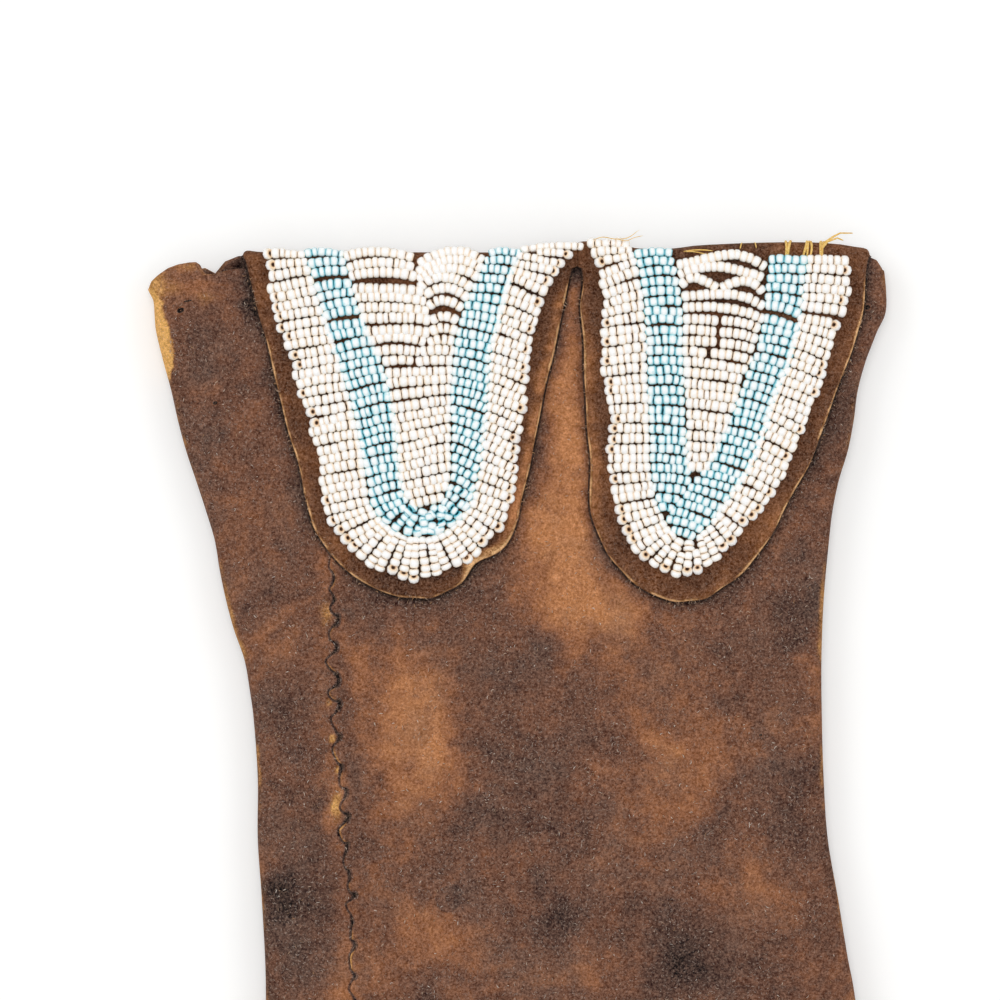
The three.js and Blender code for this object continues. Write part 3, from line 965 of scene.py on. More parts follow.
    def columns(self, down: Array, inset: float) -> Array:
        """Places across the front: close together at the edges, and along and beside the wavy seam.

        Args:
            down: distance of each point from the mouth line, one column a line down the bag.
            inset: how far inside the outer edges.

        Returns:
            x of each point.
        """
        near = np.array(self.seam_columns)
        beside = np.concatenate([-near[::-1], [0.0], near])
        left_share = 1.0 - np.cos(np.linspace(0.0, np.pi / 2.0, self.left_columns + 1))[: self.left_columns]
        right_share = np.sin(np.linspace(0.0, np.pi / 2.0, self.right_columns + 1))[1:]
        left, right = self.edges(down)
        seam = self.seam_at(down)
        a, b = self.left_columns, self.left_columns + len(beside)
        left_part = (left + inset)[:, :a]
        left_part = left_part + (seam[:, :a] + beside[0] - left_part) * left_share
        right_start = seam[:, b:] + beside[-1]
        right_part = right_start + ((right - inset)[:, b:] - right_start) * right_share
        return np.concatenate([left_part, seam[:, a:b] + beside, right_part], axis=1)

    def rings(self) -> Array:
        """Depths of the rings: close together where the picture shows the bag, and at both ends."""
        stretches = [
            np.linspace(0.0, 12.0, self.mouth_rings), np.arange(12.8, 95.0, 0.8), np.arange(95.5, 131.0, 0.9),
            np.arange(132.0, 172.0, 1.5), np.arange(172.5, 339.0, 2.6), np.linspace(340.0, 355.5, 11),
            np.linspace(356.2, self.length, 9),
        ]
        return np.concatenate(stretches)

    def tube(self, rings: Array, inset: float) -> Array:
        """One surface of the tube: each ring runs left to right over the front and back over the back.

        Args:
            rings: nominal depths of the rings.
            inset: 0 for the outside, the hide's thickness for the inside.

        Returns:
            Points by ring and column.
        """
        count = self.left_columns + 2 * len(self.seam_columns) + 1 + self.right_columns
        level = np.full((1, count), self.rim_level)
        rim = np.interp(self.columns(level, 0.0)[0], *np.array(self.front_rim).T)
        deep = rings[:, None] - inset * rings[:, None] / self.length * self.lining_short
        down = rim + (self.length - rim) * deep / self.length
        x = self.columns(down, inset)
        turn = np.cos(np.linspace(0.0, np.pi, self.back_columns + 2))[1:-1]
        back_rim = np.interp(self.back_middle + turn * self.back_reach, *np.array(self.back_rim).T)
        back_down = back_rim + (self.length - back_rim) * deep / self.length
        left, right = self.edges(back_down)
        across = (left + right) / 2.0 + turn * ((right - left) / 2.0 - inset)
        back_share = (1.0 - np.abs(turn) ** self.roundness) ** (1.0 / self.roundness)
        if inset:
            gap = np.maximum(self.thickness(down) - 2.0 * inset, self.least_gap)
            front_z = inset + gap * (1.0 + self.share(x, down, inset)[1]) / 2.0
            gap = np.maximum(self.thickness(back_down) - 2.0 * inset, self.least_gap)
            back_z = inset + gap * (1.0 - back_share) / 2.0
        else:
            front_z = self.front(x, down)
            back_z = self.thickness(back_down) * (1.0 - back_share) / 2.0
        back_z = np.maximum(back_z, 0.0) + self.rolled(across, back_down)
        front = np.stack([x, -down, front_z], axis=-1)
        back = np.stack([across, -back_down, back_z], axis=-1)
        return np.concatenate([front, back], axis=1)

    def rolled(self, x: Array, down: Array) -> Array:
        """Height of the curled back rim beside the cuff's left end, a soft bell over the place."""
        across = ((x - self.roll_middle) / self.roll_half) ** 2
        return self.roll_height * bell(across) * bell(down / self.roll_depth)

    def build(self, material: Material, flap_edges: Array) -> Thing:
        """Lofts the outside from the bottom to the mouth, rolls the rim over and lofts the inside back down.

        Args:
            material: the bag's suede.
            flap_edges: x and depth of points on the edges of the flaps that lie on the front.

        Returns:
            The bag's object.
        """
        rings = self.rings()
        outside = self.tube(rings, 0.0)[::-1]
        lining = np.concatenate([rings[: self.mouth_rings : 3], np.linspace(16.0, 352.0, 40)])
        inside = self.tube(lining, self.hide)
        angle = np.linspace(0.0, np.pi, 7)[1:-1, None, None]
        middle = (outside[-1] + inside[0]) / 2.0
        rim = middle + (outside[-1] - middle) * np.cos(angle)
        rim[..., 1] += self.rim_bulge * np.sin(angle[..., 0])
        grid = np.concatenate([outside, rim, inside])
        rows, columns = grid.shape[:2]
        points = np.concatenate([grid.reshape(-1, 3), grid[[0, -1]].mean(axis=1)])
        values = self.wear(points, len(outside) * columns, (len(outside) + len(rim)) * columns)
        # Painted shadow: the tone is darkened beside the flaps' edges.
        values["tone"] -= self.painted_flap_shadow(points, flap_edges)
        piece = Piece("bag_hide_shell", Slot.BAG.value, ("bag_hide",))
        thing = piece.build(points, capped_faces(rows, columns), material, values)
        girth = 2.0 * float(np.mean(np.subtract(*self.edges(rings)[::-1])))
        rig.sheet(thing, flat=(girth * MM, self.length * MM), held="folded")
        return thing

    def painted_flap_shadow(self, points: Array, flap_edges: Array) -> Array:
        """Painted shadow of the flaps on the bag: bells of the distance from the nearest point of a flap's edge.

        Args:
            points: the bag's points.
            flap_edges: x and depth of points on the flaps' edges.

        Returns:
            How much darker each point is.
        """
        near = np.flatnonzero(-points[:, 1] < self.shadow_bottom)
        blocks = np.array_split(points[near, :2] * (1.0, -1.0), 40)
        gaps = [np.linalg.norm(block[:, None] - flap_edges, axis=-1).min(axis=1) for block in blocks]
        gap = np.concatenate(gaps)
        shading = np.zeros(len(points))
        shading[near] = sum(depth * bell(gap / wide) for depth, wide in self.shadow_bells)
        return shading

    def wear(self, points: Array, outside: int, rim: int) -> dict[str, Array]:
        """Tone and rub of each point: rubbed on the left fold, on the rim, the sides and the seam.

        Args:
            points: the bag's points, the outside first and then the rim.
            outside: how many are outside.
            rim: how many are outside or on the rim.

        Returns:
            The attributes that the suede reads.
        """
        x, down, height = points[:, 0], -points[:, 1], points[:, 2]
        t, _ = self.share(x, down)
        band = np.interp(down, *np.array(self.rubbed_fold).T)
        border = 0.35 * ripples(x, down, 5.0, 11) + 0.3 * ripples(x, down, 2.0, 12)
        inside = x - self.edges(down)[0] - band + border
        fold = smooth_step(0.8, -0.6, inside) * smooth_step(0.0, 0.6, band)
        uneven = 0.35 + 0.8 * ripples(down, 2.0 * height, 21.0, 10)
        uneven = uneven + 0.5 * ripples(down, 2.5 * height, 5.0, 13)
        side = smooth_step(0.972, 1.0, np.abs(t)) * smooth_step(1.0, 6.5, height)
        edge = self.side_rub * side * np.clip(uneven, 0.0, 1.2)
        across, along, wide, deep, weight = np.array(self.rubbed_spots).T
        bare = weight * bell((x[:, None] - across) / wide, (down[:, None] - along) / deep)
        below = down - np.interp(x, *np.array(self.front_rim).T)
        near_rim = smooth_step(10.0, 2.0, below) * smooth_step(-64.0, -72.0, x)
        rim_wear = (0.14 + 0.26 * ripples(x, down, 9.0, 9)) * near_rim
        rub = np.maximum.reduce([self.fold_rub * fold, edge, bare.max(axis=1), rim_wear])
        rub[outside:rim] = self.rim_rub * (x[outside:rim] < -66.0)
        rub[rim:] = 0.0
        away = x - self.seam_at(down)
        tone = self.tone(x, down) + 0.08 * bell((away + 2.2) / 2.4) * (down > 60.0)
        tone[rim:] -= self.lining_dark
        return {"tone": tone, "rub": rub}


class Side(Enum):
    """The two sides of the notch, with the sign of x on each."""

    LEFT = -1
    RIGHT = 1


@dataclass(frozen=True)
class Flap:
    """One round-toed flap of the cuff: two straight tapering legs joined by a half-oval toe."""

    side: Side
    centre: float
    half_width: float
    taper: float
    leg: float
    toe: float
    lean: float
    fold_radius: float = 2.45
    fold_depth: float = 2.6
    level_depth: float = 20.0

    def point(self, inset: Array, cos: Array, sin: Array, down: Array) -> Array:
        """A point inside the flap's edge.

        Args:
            inset: distance inside the edge.
            cos: -1 on the left leg, 1 on the right leg, the cosine of the angle round the toe.
            sin: 0 on the legs, the sine of the angle round the toe.
            down: distance from the top of the fold, the leg's length on the toe.

        Returns:
            x and the distance along the hide from the end of the fold.
        """
        past = np.maximum(0.0, down - self.fold_depth)
        along = past / (self.leg - self.fold_depth)
        deep = down + (self.toe - inset) * sin
        half = self.half_width - inset * np.hypot(1.0, self.taper) - self.taper * deep
        share = np.clip(deep / (self.leg + self.toe), 0.0, 1.0)
        middle = self.centre + self.lean * (1.0 - np.cos(np.pi * share)) / 2.0
        lift = inset * self.taper * np.minimum(1.0, past / self.level_depth) * (1.0 - along**3)
        return np.stack(np.broadcast_arrays(middle + half * cos, deep - self.fold_radius - lift), axis=-1)

    def stops(self, leg_step: float, toe_steps: int) -> tuple[Array, Array, Array]:
        """Places round the flap: down the left leg, round the toe and up the right leg.

        Args:
            leg_step: distance between places on a leg.
            toe_steps: number of places on the toe.

        Returns:
            cos, sin and down of each place, as point() takes them.
        """
        leg = np.arange(0.0, self.leg - 0.4 * leg_step, leg_step)
        angle = np.linspace(np.pi, 0.0, toe_steps)
        cos = np.concatenate([np.full_like(leg, -1.0), np.cos(angle), np.full_like(leg, 1.0)])
        sin = np.concatenate([np.zeros_like(leg), np.sin(angle), np.zeros_like(leg)])
        return cos, sin, np.concatenate([leg, np.full(toe_steps, self.leg), leg[::-1]])


LEFT_FLAP = Flap(Side.LEFT, -25.4, 37.1, 0.234, 60.0, 18.0, 1.3)
RIGHT_FLAP = Flap(Side.RIGHT, 44.5, 32.4, 0.184, 55.5, 23.3, -9.5)
FLAPS = (LEFT_FLAP, RIGHT_FLAP)


@dataclass
class CuffHide:
    """The cuff: one hide folded over the front of the mouth, hemmed inside and cut into two flaps outside."""

    hide: float = 1.3
    fold_radius: float = 2.45
    fold_height: float = 10.15
    hem: float = 10.0
    hem_points: int = 26
    hem_cut: float = 5.3
    notch: float = 11.9
    notch_half: float = 0.2
    notch_top: float = 4.6
    cut_slope: float = 0.62
    dent: float = 2.4
    dent_angle: float = 42.0
    dent_spread: float = 14.0
    dent_place: tuple[float, float] = (-8.5, 67.5)
    dent_size: tuple[float, float] = (5.0, 6.0)
    dent_curl: float = 1.4
    dent_bevel: float = 3.0
    hollow: float = 1.35
    fullness: float = 1.9
    # x and y of the line at which the fold starts.
    fold_line: Points = (
        (-62.5, -0.7), (-57, -1.1), (-30, -1.1), (0, -1), (8, 0), (13.5, 1.3), (19.8, 1), (25, -0.2),
        (31.8, -0.4), (39, 0.45), (56, 1.1), (68, 0.9), (75.5, -0.2), (77.5, -0.9),
    )

    def lay(self, x: Array, along: Array, rise: Array, skin: float = 0.0) -> Array:
        """Folds points of the flat hide: level in front, half a circle over the mouth, level inside.

        Args:
            x: places across.
            along: distances down the hide from the mouth line, below 0 round the fold and in the hem.
            rise: heights over the hide's outer face.
            skin: height at which distances round the fold are measured.

        Returns:
            Points in millimetres.
        """
        x, along, rise = np.broadcast_arrays(x, along, rise)
        line = curve_through(self.fold_line, x)
        past = np.maximum(0.0, -along - line)
        arc = self.fold_radius + skin
        turn = np.clip(past / arc, 0.0, np.pi)
        inside = np.maximum(0.0, past - np.pi * arc)
        y = np.minimum(line, -along) + (self.fold_radius + rise) * np.sin(turn) - inside
        z = self.fold_height + (self.fold_radius + rise) * np.cos(turn)
        return np.stack([x, y, z + self.waves(x, along)], axis=-1)

    @staticmethod
    def waves(x: Array, along: Array) -> Array:
        """Gentle lift of the flaps off the bag, none at the fold."""
        free = smooth_step(4.0, 30.0, along)
        return free * (0.35 + 0.4 * ripples(x, along, 30.0, 21) + 0.15 * ripples(x, along, 12.0, 22))

    def outline(self, flap: Flap) -> tuple[Array, Array]:
        """The flap's cut edge and, for each place on it, a partner on the flap's middle line.

        Args:
            flap: the flap.

        Returns:
            Edge points and middle points, flat.
        """
        cos, sin, down = flap.stops(0.6, 90)
        inset = 0.2 * ripples(down + 40.0 * cos, 30.0 * sin, 16.0, 31) * smooth_step(6.0, 14.0, down)
        if flap.side is Side.LEFT:
            angle = np.degrees(np.arctan2(sin, cos))
            inset = inset + self.dent * bell((angle - self.dent_angle) / self.dent_spread) * (sin > 0.0)
        edge = flap.point(inset, cos, sin, down)
        if flap.side is Side.RIGHT:
            upper = smooth_step(6.0, 14.0, down) * smooth_step(50.0, 22.0, down)
            edge[:, 0] -= self.hollow * (cos < 0.0) * upper
            belly = smooth_step(0.0, 14.0, edge[:, 1]) * smooth_step(57.0, 43.0, edge[:, 1])
            edge[:, 0] += self.fullness * (cos > 0.0) * belly
        middle = flap.point(np.zeros_like(down), np.zeros_like(cos), np.zeros_like(sin), down)
        joined = (cos * flap.side.value < 0.0) & (down < self.notch_top)
        edge[joined, 0] = self.notch - self.notch_half * flap.side.value
        hem_end = -np.pi * self.fold_radius - self.hem
        back = np.linspace(hem_end, -self.fold_radius - 0.6, self.hem_points)
        first, last = edge[0, 0], edge[-1, 0]
        cut = self.hem_cut * smooth_step(-4.0, -9.0, back) * (flap.side is Side.RIGHT)
        rise = np.stack([np.full_like(back, first), back], axis=1)
        fall = np.stack([last - cut, back], axis=1)[::-1]
        centre = np.stack([np.full_like(back, (first + last) / 2.0), back], axis=1)
        return np.concatenate([rise, edge, fall]), np.concatenate([centre, middle, centre[::-1]])

    def section(self) -> Array:
        """The hide's cross-section from the flap's middle over the slanted cut edge, a dark skirt of painted shadow
        past it, and back underneath.

        Returns:
            Share of the way to the edge, distance inside it, height over the outer face, tone and rub.
        """
        middle = [(share, 0.0, 0.0, 0.0, 0.0) for share in np.linspace(0.0, 0.8, 9)]
        margin = [(1.0, 2.9, 0.0, 0.0, 0.0), (1.0, 2.1, 0.03, 0.0, 0.0), (1.0, 1.3, 0.07, 0.02, 0.04)]
        slope = self.cut_slope * np.array([1.0, 0.73, 0.48, 0.24, 0.07, 0.0])
        fall = np.array([0.04, -0.06, -0.2, -0.42, -0.7, -0.95])
        wear = np.array([0.05, 0.14, 0.44, 1.0, 1.0, 0.30])
        cut = [(1.0, inside, rise, 0.04, rub) for inside, rise, rub in zip(slope, fall, wear)]
        # Painted shadow: two dark rings under the cut edge, reaching a little past the outline.
        shadow_skirt = [(1.0, -0.12, -1.1, -0.40, 0.0), (1.0, -0.42, -1.26, -0.34, 0.0)]
        under = [(1.0, 0.5, -self.hide, -0.3, 0.0)]
        under += [(share, 0.0, -self.hide, -0.3, 0.0) for share in (0.75, 0.4, 0.0)]
        return np.array(middle + margin + cut + shadow_skirt + under).T

    def build(self, material: Material) -> Thing:
        """Carries the cross-section round both flaps' outlines and folds the result over the mouth.

        Args:
            material: the cuff's suede.

        Returns:
            The cuff's object.
        """
        share, inside, rise, _, _ = self.section()
        at_edge = share == 1.0
        cut = at_edge & (inside > 0.0) & (inside < 1.0) & (rise > -1.0)
        slope = np.where(cut, inside, self.cut_slope * (at_edge & (inside > 1.0)))
        points, faces, values = [], [], {"tone": [], "rub": []}
        area = 0.0
        start = 0
        for flap in FLAPS:
            edge, middle = self.outline(flap)
            reach = inside + slope * (self.bevel(flap, edge)[:, None] - 1.0)
            flat = middle[:, None] + (edge - middle)[:, None] * share[None, :, None]
            flat = flat + unit(middle - edge)[:, None] * reach[..., None]
            lifted = rise + self.curl(flap, edge)[:, None] * (inside < 2.0) * at_edge
            grid = self.lay(flat[..., 0], flat[..., 1], lifted)
            rows, columns = grid.shape[:2]
            points.append(grid.reshape(-1, 3))
            ends = self.end_faces(columns) + start
            faces += [grid_faces(rows, columns, False) + start, ends[:, ::-1], ends + (rows - 1) * columns]
            start += rows * columns
            ahead = middle[1:] - edge[:-1]
            halves = np.cross(edge[1:] - edge[:-1], ahead), np.cross(ahead, middle[:-1] - edge[:-1])
            area += 0.5 * float(np.abs(halves).sum())
            for key, numbers in self.wear(flap, edge, flat, cut).items():
                values[key].append(numbers.ravel())
        piece = Piece("cuff_hide_sheet", Slot.CUFF.value, ("cuff_hide",))
        merged = {key: np.concatenate(blocks) for key, blocks in values.items()}
        thing = piece.build(np.concatenate(points), faces, material, merged, weld=True)
        width = RIGHT_FLAP.centre + RIGHT_FLAP.half_width - LEFT_FLAP.centre + LEFT_FLAP.half_width
        length = LEFT_FLAP.leg + LEFT_FLAP.toe + self.hem + np.pi * self.fold_radius
        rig.sheet(thing, flat=(width * MM, length * MM), held="folded", area=area * MM * MM)
        return thing

    def wear(self, flap: Flap, edge: Array, flat: Array, cut: Array) -> dict[str, Array]:
        """Tone and rub of one flap's points: bright in patches on the cut edge, and painted shade inside the turned-up
        toe.

        Args:
            flap: the flap.
            edge: its edge points.
            flat: all its points on the flat hide.
            cut: True for the points of the cross-section that are on the slanted cut.

        Returns:
            The attributes that the suede reads.
        """
        share, inside, rise, tone, rub = self.section()
        along = edge[:, 1]
        patchy = np.clip(0.75 + 0.65 * ripples(*edge.T, 8.0, 36), 0.1, 1.4)
        patchy = patchy * np.clip(0.85 + 0.6 * ripples(*edge.T, 3.0, 37), 0.3, 1.4)
        far_left = edge[:, 0] < -40.0
        patchy = patchy * np.where(far_left, smooth_step(14.0, 26.0, along), smooth_step(3.0, 9.0, along))
        turned = self.turned_up(flap, edge)[:, None]
        # Painted shade: the hide just inside the turned-up toe is darkened.
        toe_shade = 0.30 * turned * (inside > 2.0)
        margin = np.interp(inside, (0.0, 1.3, 2.1, 2.9), (1.0, 1.0, 0.6, 0.0))
        margin = margin * (share == 1.0) * (rise > -0.9)
        warmth = self.notch_wear(flap, edge)[:, None] * margin
        cloud = 0.05 * ripples(flat[..., 0], flat[..., 1], 14.0, 33)
        return {
            "tone": tone - toe_shade + warmth - 0.01 + cloud,
            "rub": rub * patchy[:, None] * (1.0 - 0.5 * turned) + 0.32 * turned * cut,
        }

    @staticmethod
    def notch_wear(flap: Flap, edge: Array) -> Array:
        """How much warmer the rubbed margin is beside the notch: uneven, and most on the left flap.

        Args:
            flap: the flap.
            edge: its edge points.

        Returns:
            Tones to add at the edge.
        """
        x, down = edge.T
        beside = 0.22 * smooth_step(-8.0, -1.0, x)
        if flap.side is Side.RIGHT:
            beside = 0.14 * smooth_step(26.0, 17.0, x)
        uneven = np.clip(0.85 + 0.5 * ripples(x, down, 4.0, 38), 0.2, 1.4)
        return beside * uneven * smooth_step(3.0, 9.0, down) * smooth_step(66.0, 58.0, down)

    @staticmethod
    def end_faces(columns: int) -> Array:
        """Quads that close the hem's end, from the top half of the cross-section to its lower half."""
        low = np.arange(columns // 2 - 1)
        return np.stack([low, low + 1, columns - 2 - low, columns - 1 - low], axis=1)

    def bevel(self, flap: Flap, edge: Array) -> Array:
        """Factors of the slanted cut's usual width: uneven, and widest at the left flap's curled toe."""
        width = np.clip(1.15 + 0.45 * ripples(*edge.T, 13.0, 35), 0.5, 2.0)
        return width + self.dent_bevel * self.turned_up(flap, edge)

    def curl(self, flap: Flap, edge: Array) -> Array:
        """How far the cut edge turns up: a little everywhere, most at the left flap's dented toe."""
        small = 0.12 + 0.18 * ripples(*edge.T, 12.0, 34)
        return small * smooth_step(0.0, 10.0, edge[:, 1]) + self.dent_curl * self.turned_up(flap, edge)

    def turned_up(self, flap: Flap, edge: Array) -> Array:
        """Share to which the edge turns up: a bell about the left flap's dent, 0 on the right flap."""
        across, along = ((edge - self.dent_place) / self.dent_size).T
        return bell(across**2, along**2) * (flap.side is Side.LEFT)


@dataclass(frozen=True)
class Ladder:
    """Rows of beads side by side, whose ends are smooth curves through the ends of a few key rows.

    A key row is x and distance along the hide of its start, then the same of its end.
    """

    rungs: Table
    bow: tuple[float, float] = (0.1, 0.1)
    bow_spread: float = 0.12
    wave_spread: float = 0.08
    tipped: float = 0.0
    ragged: float = 0.06
    crowd: float = 1.15
    short: float = 0.66
    spread: float = 0.045
    row_pitch: float = 2.2
    # x, distance along and width of each bare gap.
    gaps: Table = ()

    def rows(self, rng: np.random.Generator) -> dict[str, Array]:
        """Rows at an even distance a third of the way in, every second one cut short where ends crowd.

        Args:
            rng: the lane's own random numbers.

        Returns:
            Start and end on the flat hide, bow, wave, tip, distances to the next rows at both ends, lift, and
            the factor by which a row may widen where its neighbours are cut short.
        """
        keys = np.array(self.rungs).reshape(-1, 2, 2)
        track = keys[:, 0] * 0.67 + keys[:, 1] * 0.33
        place = np.concatenate([[0.0], np.cumsum(np.linalg.norm(np.diff(track, axis=0), axis=1))])
        at = self.places(place, track, rng)
        ends = [[curve_through(tuple(zip(place, keys[:, side, k])), at) for k in (0, 1)] for side in (0, 1)]
        start, end = (np.stack(pair, axis=1) for pair in ends)
        count = len(at)
        pitch = self.pitches(start, end)
        crowded = pitch[:, 1] < self.crowd
        cut = crowded & (np.arange(count) % 2 == 1)
        end = start + (end - start) * np.where(cut, self.short, 1.0)[:, None]
        shift = rng.normal(0.0, self.ragged, (count, 1))
        return {
            "start": start + rng.normal(0.0, 0.05, start.shape) + unit(end - start) * shift,
            "end": end + rng.normal(0.0, 0.05, end.shape),
            "bow": np.linspace(*self.bow, count) + rng.normal(0.0, self.bow_spread, count),
            "wave": rng.normal(0.0, self.wave_spread, count),
            "tip": np.where(rng.uniform(size=count) < self.tipped, rng.uniform(0.4, 0.8, count), 0.0),
            "pitch": np.minimum(pitch, 1.1 * self.row_pitch),
            "lift": np.where(cut, 0.35, 0.0),
            "spare": np.where(crowded & ~cut, 2.0, 1.0),
        }

    def places(self, place: Array, track: Array, rng: np.random.Generator) -> Array:
        """Distances of the rows along the lane: even, a little shaken, and pushed apart at the gaps.

        Args:
            place: distance of each key row along the lane.
            track: the point of each key row at which distances are measured.
            rng: the lane's own random numbers.

        Returns:
            The distances.
        """
        fine = np.linspace(0.0, place[-1], 600)
        line = np.stack([np.interp(fine, place, track[:, k]) for k in (0, 1)], axis=1)
        usable = place[-1] - sum(wide for _, _, wide in self.gaps)
        count = max(2, int(round(usable / self.row_pitch)) + 1)
        at = np.linspace(0.0, usable, count)
        at[1:-1] += rng.normal(0.0, self.spread, count - 2)
        spots = sorted(
            (fine[np.argmin(np.hypot(*(line - (x, along)).T))], wide) for x, along, wide in self.gaps
        )
        for spot, wide in spots:
            at = np.where(at > spot, at + wide, at)
        return at

    @staticmethod
    def pitches(start: Array, end: Array) -> Array:
        """Distance of each row from its neighbours, square to the row, at its start and at its end.

        Args:
            start: the rows' starts.
            end: the rows' ends.

        Returns:
            Two distances a row.
        """
        run = unit(end - start)
        steps = [np.gradient(ends, axis=0) for ends in (start, end)]
        return np.stack([np.abs(step[:, 0] * run[:, 1] - step[:, 1] * run[:, 0]) for step in steps], axis=1)


@dataclass(frozen=True)
class LooseRows:
    """Rows sewn one by one: x and distance along of start and end, then sideways bow and wave."""

    entries: Table
    row_pitch: float = 2.2

    def rows(self, rng: np.random.Generator) -> dict[str, Array]:
        """The rows as they are listed.

        Args:
            rng: the lane's own random numbers.

        Returns:
            The same numbers as a ladder gives.
        """
        table = np.array(self.entries)
        count = len(table)
        return {
            "start": table[:, :2] + rng.normal(0.0, 0.06, (count, 2)),
            "end": table[:, 2:4] + rng.normal(0.0, 0.06, (count, 2)),
            "bow": table[:, 4],
            "wave": table[:, 5],
            "tip": np.zeros(count),
            "pitch": np.full((count, 2), self.row_pitch),
            "lift": np.zeros(count),
            "spare": np.ones(count),
        }


@dataclass
class BeadLane:
    """One lane of beadwork: rows of glass beads on threads that are sewn down at their ends only."""

    name: str
    slot: Slot
    seed: int
    cuff: CuffHide
    ladders: tuple[Ladder | LooseRows, ...]
    bead: float = 2.3
    bead_length: float = 1.56
    longest: float = 2.2
    least_radius: float = 0.96
    most_radius: float = 1.38
    touch: float = 0.545
    segments: int = 8
    hump: float = 0.55
    usual_row: float = 8.0
    # x, y, width and strength of a place where the beads lie in disorder.
    jumbled: tuple[float, float, float, float] = (0.0, 0.0, 1.0, 0.0)
    sharp_angle: float = 52.0
    # Place along the hole, distance from it and share of the end colour, the painted shade in the grooves between
    # beads and in the hole.
    profile: Table = (
        (-0.43, 0.24, 1), (-0.50, 0.70, 0.45), (-0.29, 0.965, 0.05), (0, 1, 0), (0.29, 0.965, 0.05),
        (0.50, 0.70, 0.45), (0.43, 0.24, 1),
    )

    def thread(self, rows: dict[str, Array], u: Array) -> Array:
        """Points on the rows' threads: a line, a bow 4u(1 - u), a wave sin 2πu and a hump off the hide.

        Args:
            rows: the rows.
            u: shares of the way along each row.

        Returns:
            Points in millimetres.
        """
        run = rows["end"] - rows["start"]
        side = unit(np.stack([run[:, 1], -run[:, 0]], axis=1))
        side = np.where(side[:, 1:] > 0.0, -side, side)
        arch = 4.0 * u * (1.0 - u)
        aside = rows["bow"][:, None] * arch + rows["wave"][:, None] * np.sin(FULL_TURN * u)
        flat = rows["start"][:, None] + run[:, None] * u[..., None] + side[:, None] * aside[..., None]
        hump = rows["hump"][:, None] * np.clip(arch, 0.0, 1.0) ** 0.7
        rise = self.bead / 2.0 + rows["lift"][:, None] + hump
        return self.cuff.lay(flat[..., 0], flat[..., 1], rise, self.bead / 2.0)

    def build(self, material: Material) -> Thing:
        """Strings the beads: uneven lengths fill each row, and each bead's hole follows the thread.

        Args:
            material: the beads' glass.

        Returns:
            The lane's object.
        """
        rng = np.random.default_rng(self.seed)
        parts = [ladder.rows(rng) for ladder in self.ladders]
        rows = {key: np.concatenate([part[key] for part in parts]) for key in parts[0]}
        rows["hump"] = self.hump * rng.uniform(0.7, 1.3, len(rows["bow"]))
        bowed = 2.6 * rows["bow"] ** 2 / self.usual_row
        span = np.linalg.norm(rows["end"] - rows["start"], axis=1) + bowed
        count = np.maximum(1, np.rint(span / self.bead_length)).astype(int)
        used = np.arange(int(count.max()))[None] < count[:, None]
        size = rng.uniform(0.74, 1.26, used.shape) * used
        size *= (span / size.sum(axis=1))[:, None]
        u = (np.cumsum(size, axis=1) - size / 2.0) / span[:, None]
        centre = self.thread(rows, u)
        axis = unit(self.thread(rows, u + 0.02) - self.thread(rows, u - 0.02))
        x, y, wide, shake = self.jumbled
        mess = shake * bell((centre[..., 0] - x) / wide, (centre[..., 1] - y) / wide)[..., None]
        centre = centre + rng.normal(0.0, 1.0, centre.shape) * (0.05 + mess * np.array([0.5, 0.5, 0.25]))
        axis = unit(axis + rng.normal(0.0, 1.0, axis.shape) * (0.05 + 0.6 * mess))
        lean = np.zeros((*used.shape, 1))
        lean[:, 0, 0] = rows["tip"]
        axis = unit(axis * (1.0 - 0.6 * lean) + np.array([0.0, 0.0, 1.0]) * lean)
        pitch = rows["pitch"][:, :1] * (1.0 - u) + rows["pitch"][:, 1:] * u
        pitch = pitch * np.where(u > 0.68, rows["spare"][:, None], 1.0)
        radius = np.clip(self.touch * pitch, self.least_radius, self.most_radius)
        radius = radius * rng.uniform(0.95, 1.04, used.shape)
        tint = np.clip(rng.normal(0.5, 0.26, used.shape), 0.0, 1.0)
        return self.beads(centre[used], axis[used], size[used], radius[used], tint[used], material)

    def beads(
        self, centre: Array, axis: Array, size: Array, radius: Array, tint: Array, material: Material
    ) -> Thing:
        """Turns the bead's ring-shaped profile about each bead's hole.

        Args:
            centre: middle of each bead.
            axis: direction of its hole.
            size: its length along the hole.
            radius: its outer radius.
            tint: its shade.
            material: the glass.

        Returns:
            The lane's object.
        """
        along, out, end = np.array(self.profile).T
        spoke = spokes(axis, (0.03, 0.05, 1.0), self.segments)
        reach = np.minimum(size, self.longest)[:, None, None]
        points = centre[:, None, None] + axis[:, None, None] * (along * reach)[..., None]
        points = points + spoke[:, :, None] * (out * radius[:, None, None])[..., None]
        shape = points.shape[:3]
        turn = np.linspace(0.0, FULL_TURN, self.segments, endpoint=False)[:, None]
        # Painted highlight: 1 on the outer side of a bead that faces up.
        highlight = np.maximum(np.cos(turn), 0.0) * smooth_step(0.9, 1.0, out)
        values = {"tint": tint[:, None, None], "end": end, "highlight": highlight}
        values = {key: np.broadcast_to(numbers, shape).ravel() for key, numbers in values.items()}
        piece = Piece(f"{self.name}_rows", self.slot.value, (self.name,))
        thing = piece.build(points.reshape(-1, 3), [ring_faces(*shape)], material, values)
        thing.data.set_sharp_from_angle(angle=np.radians(self.sharp_angle))
        return thing


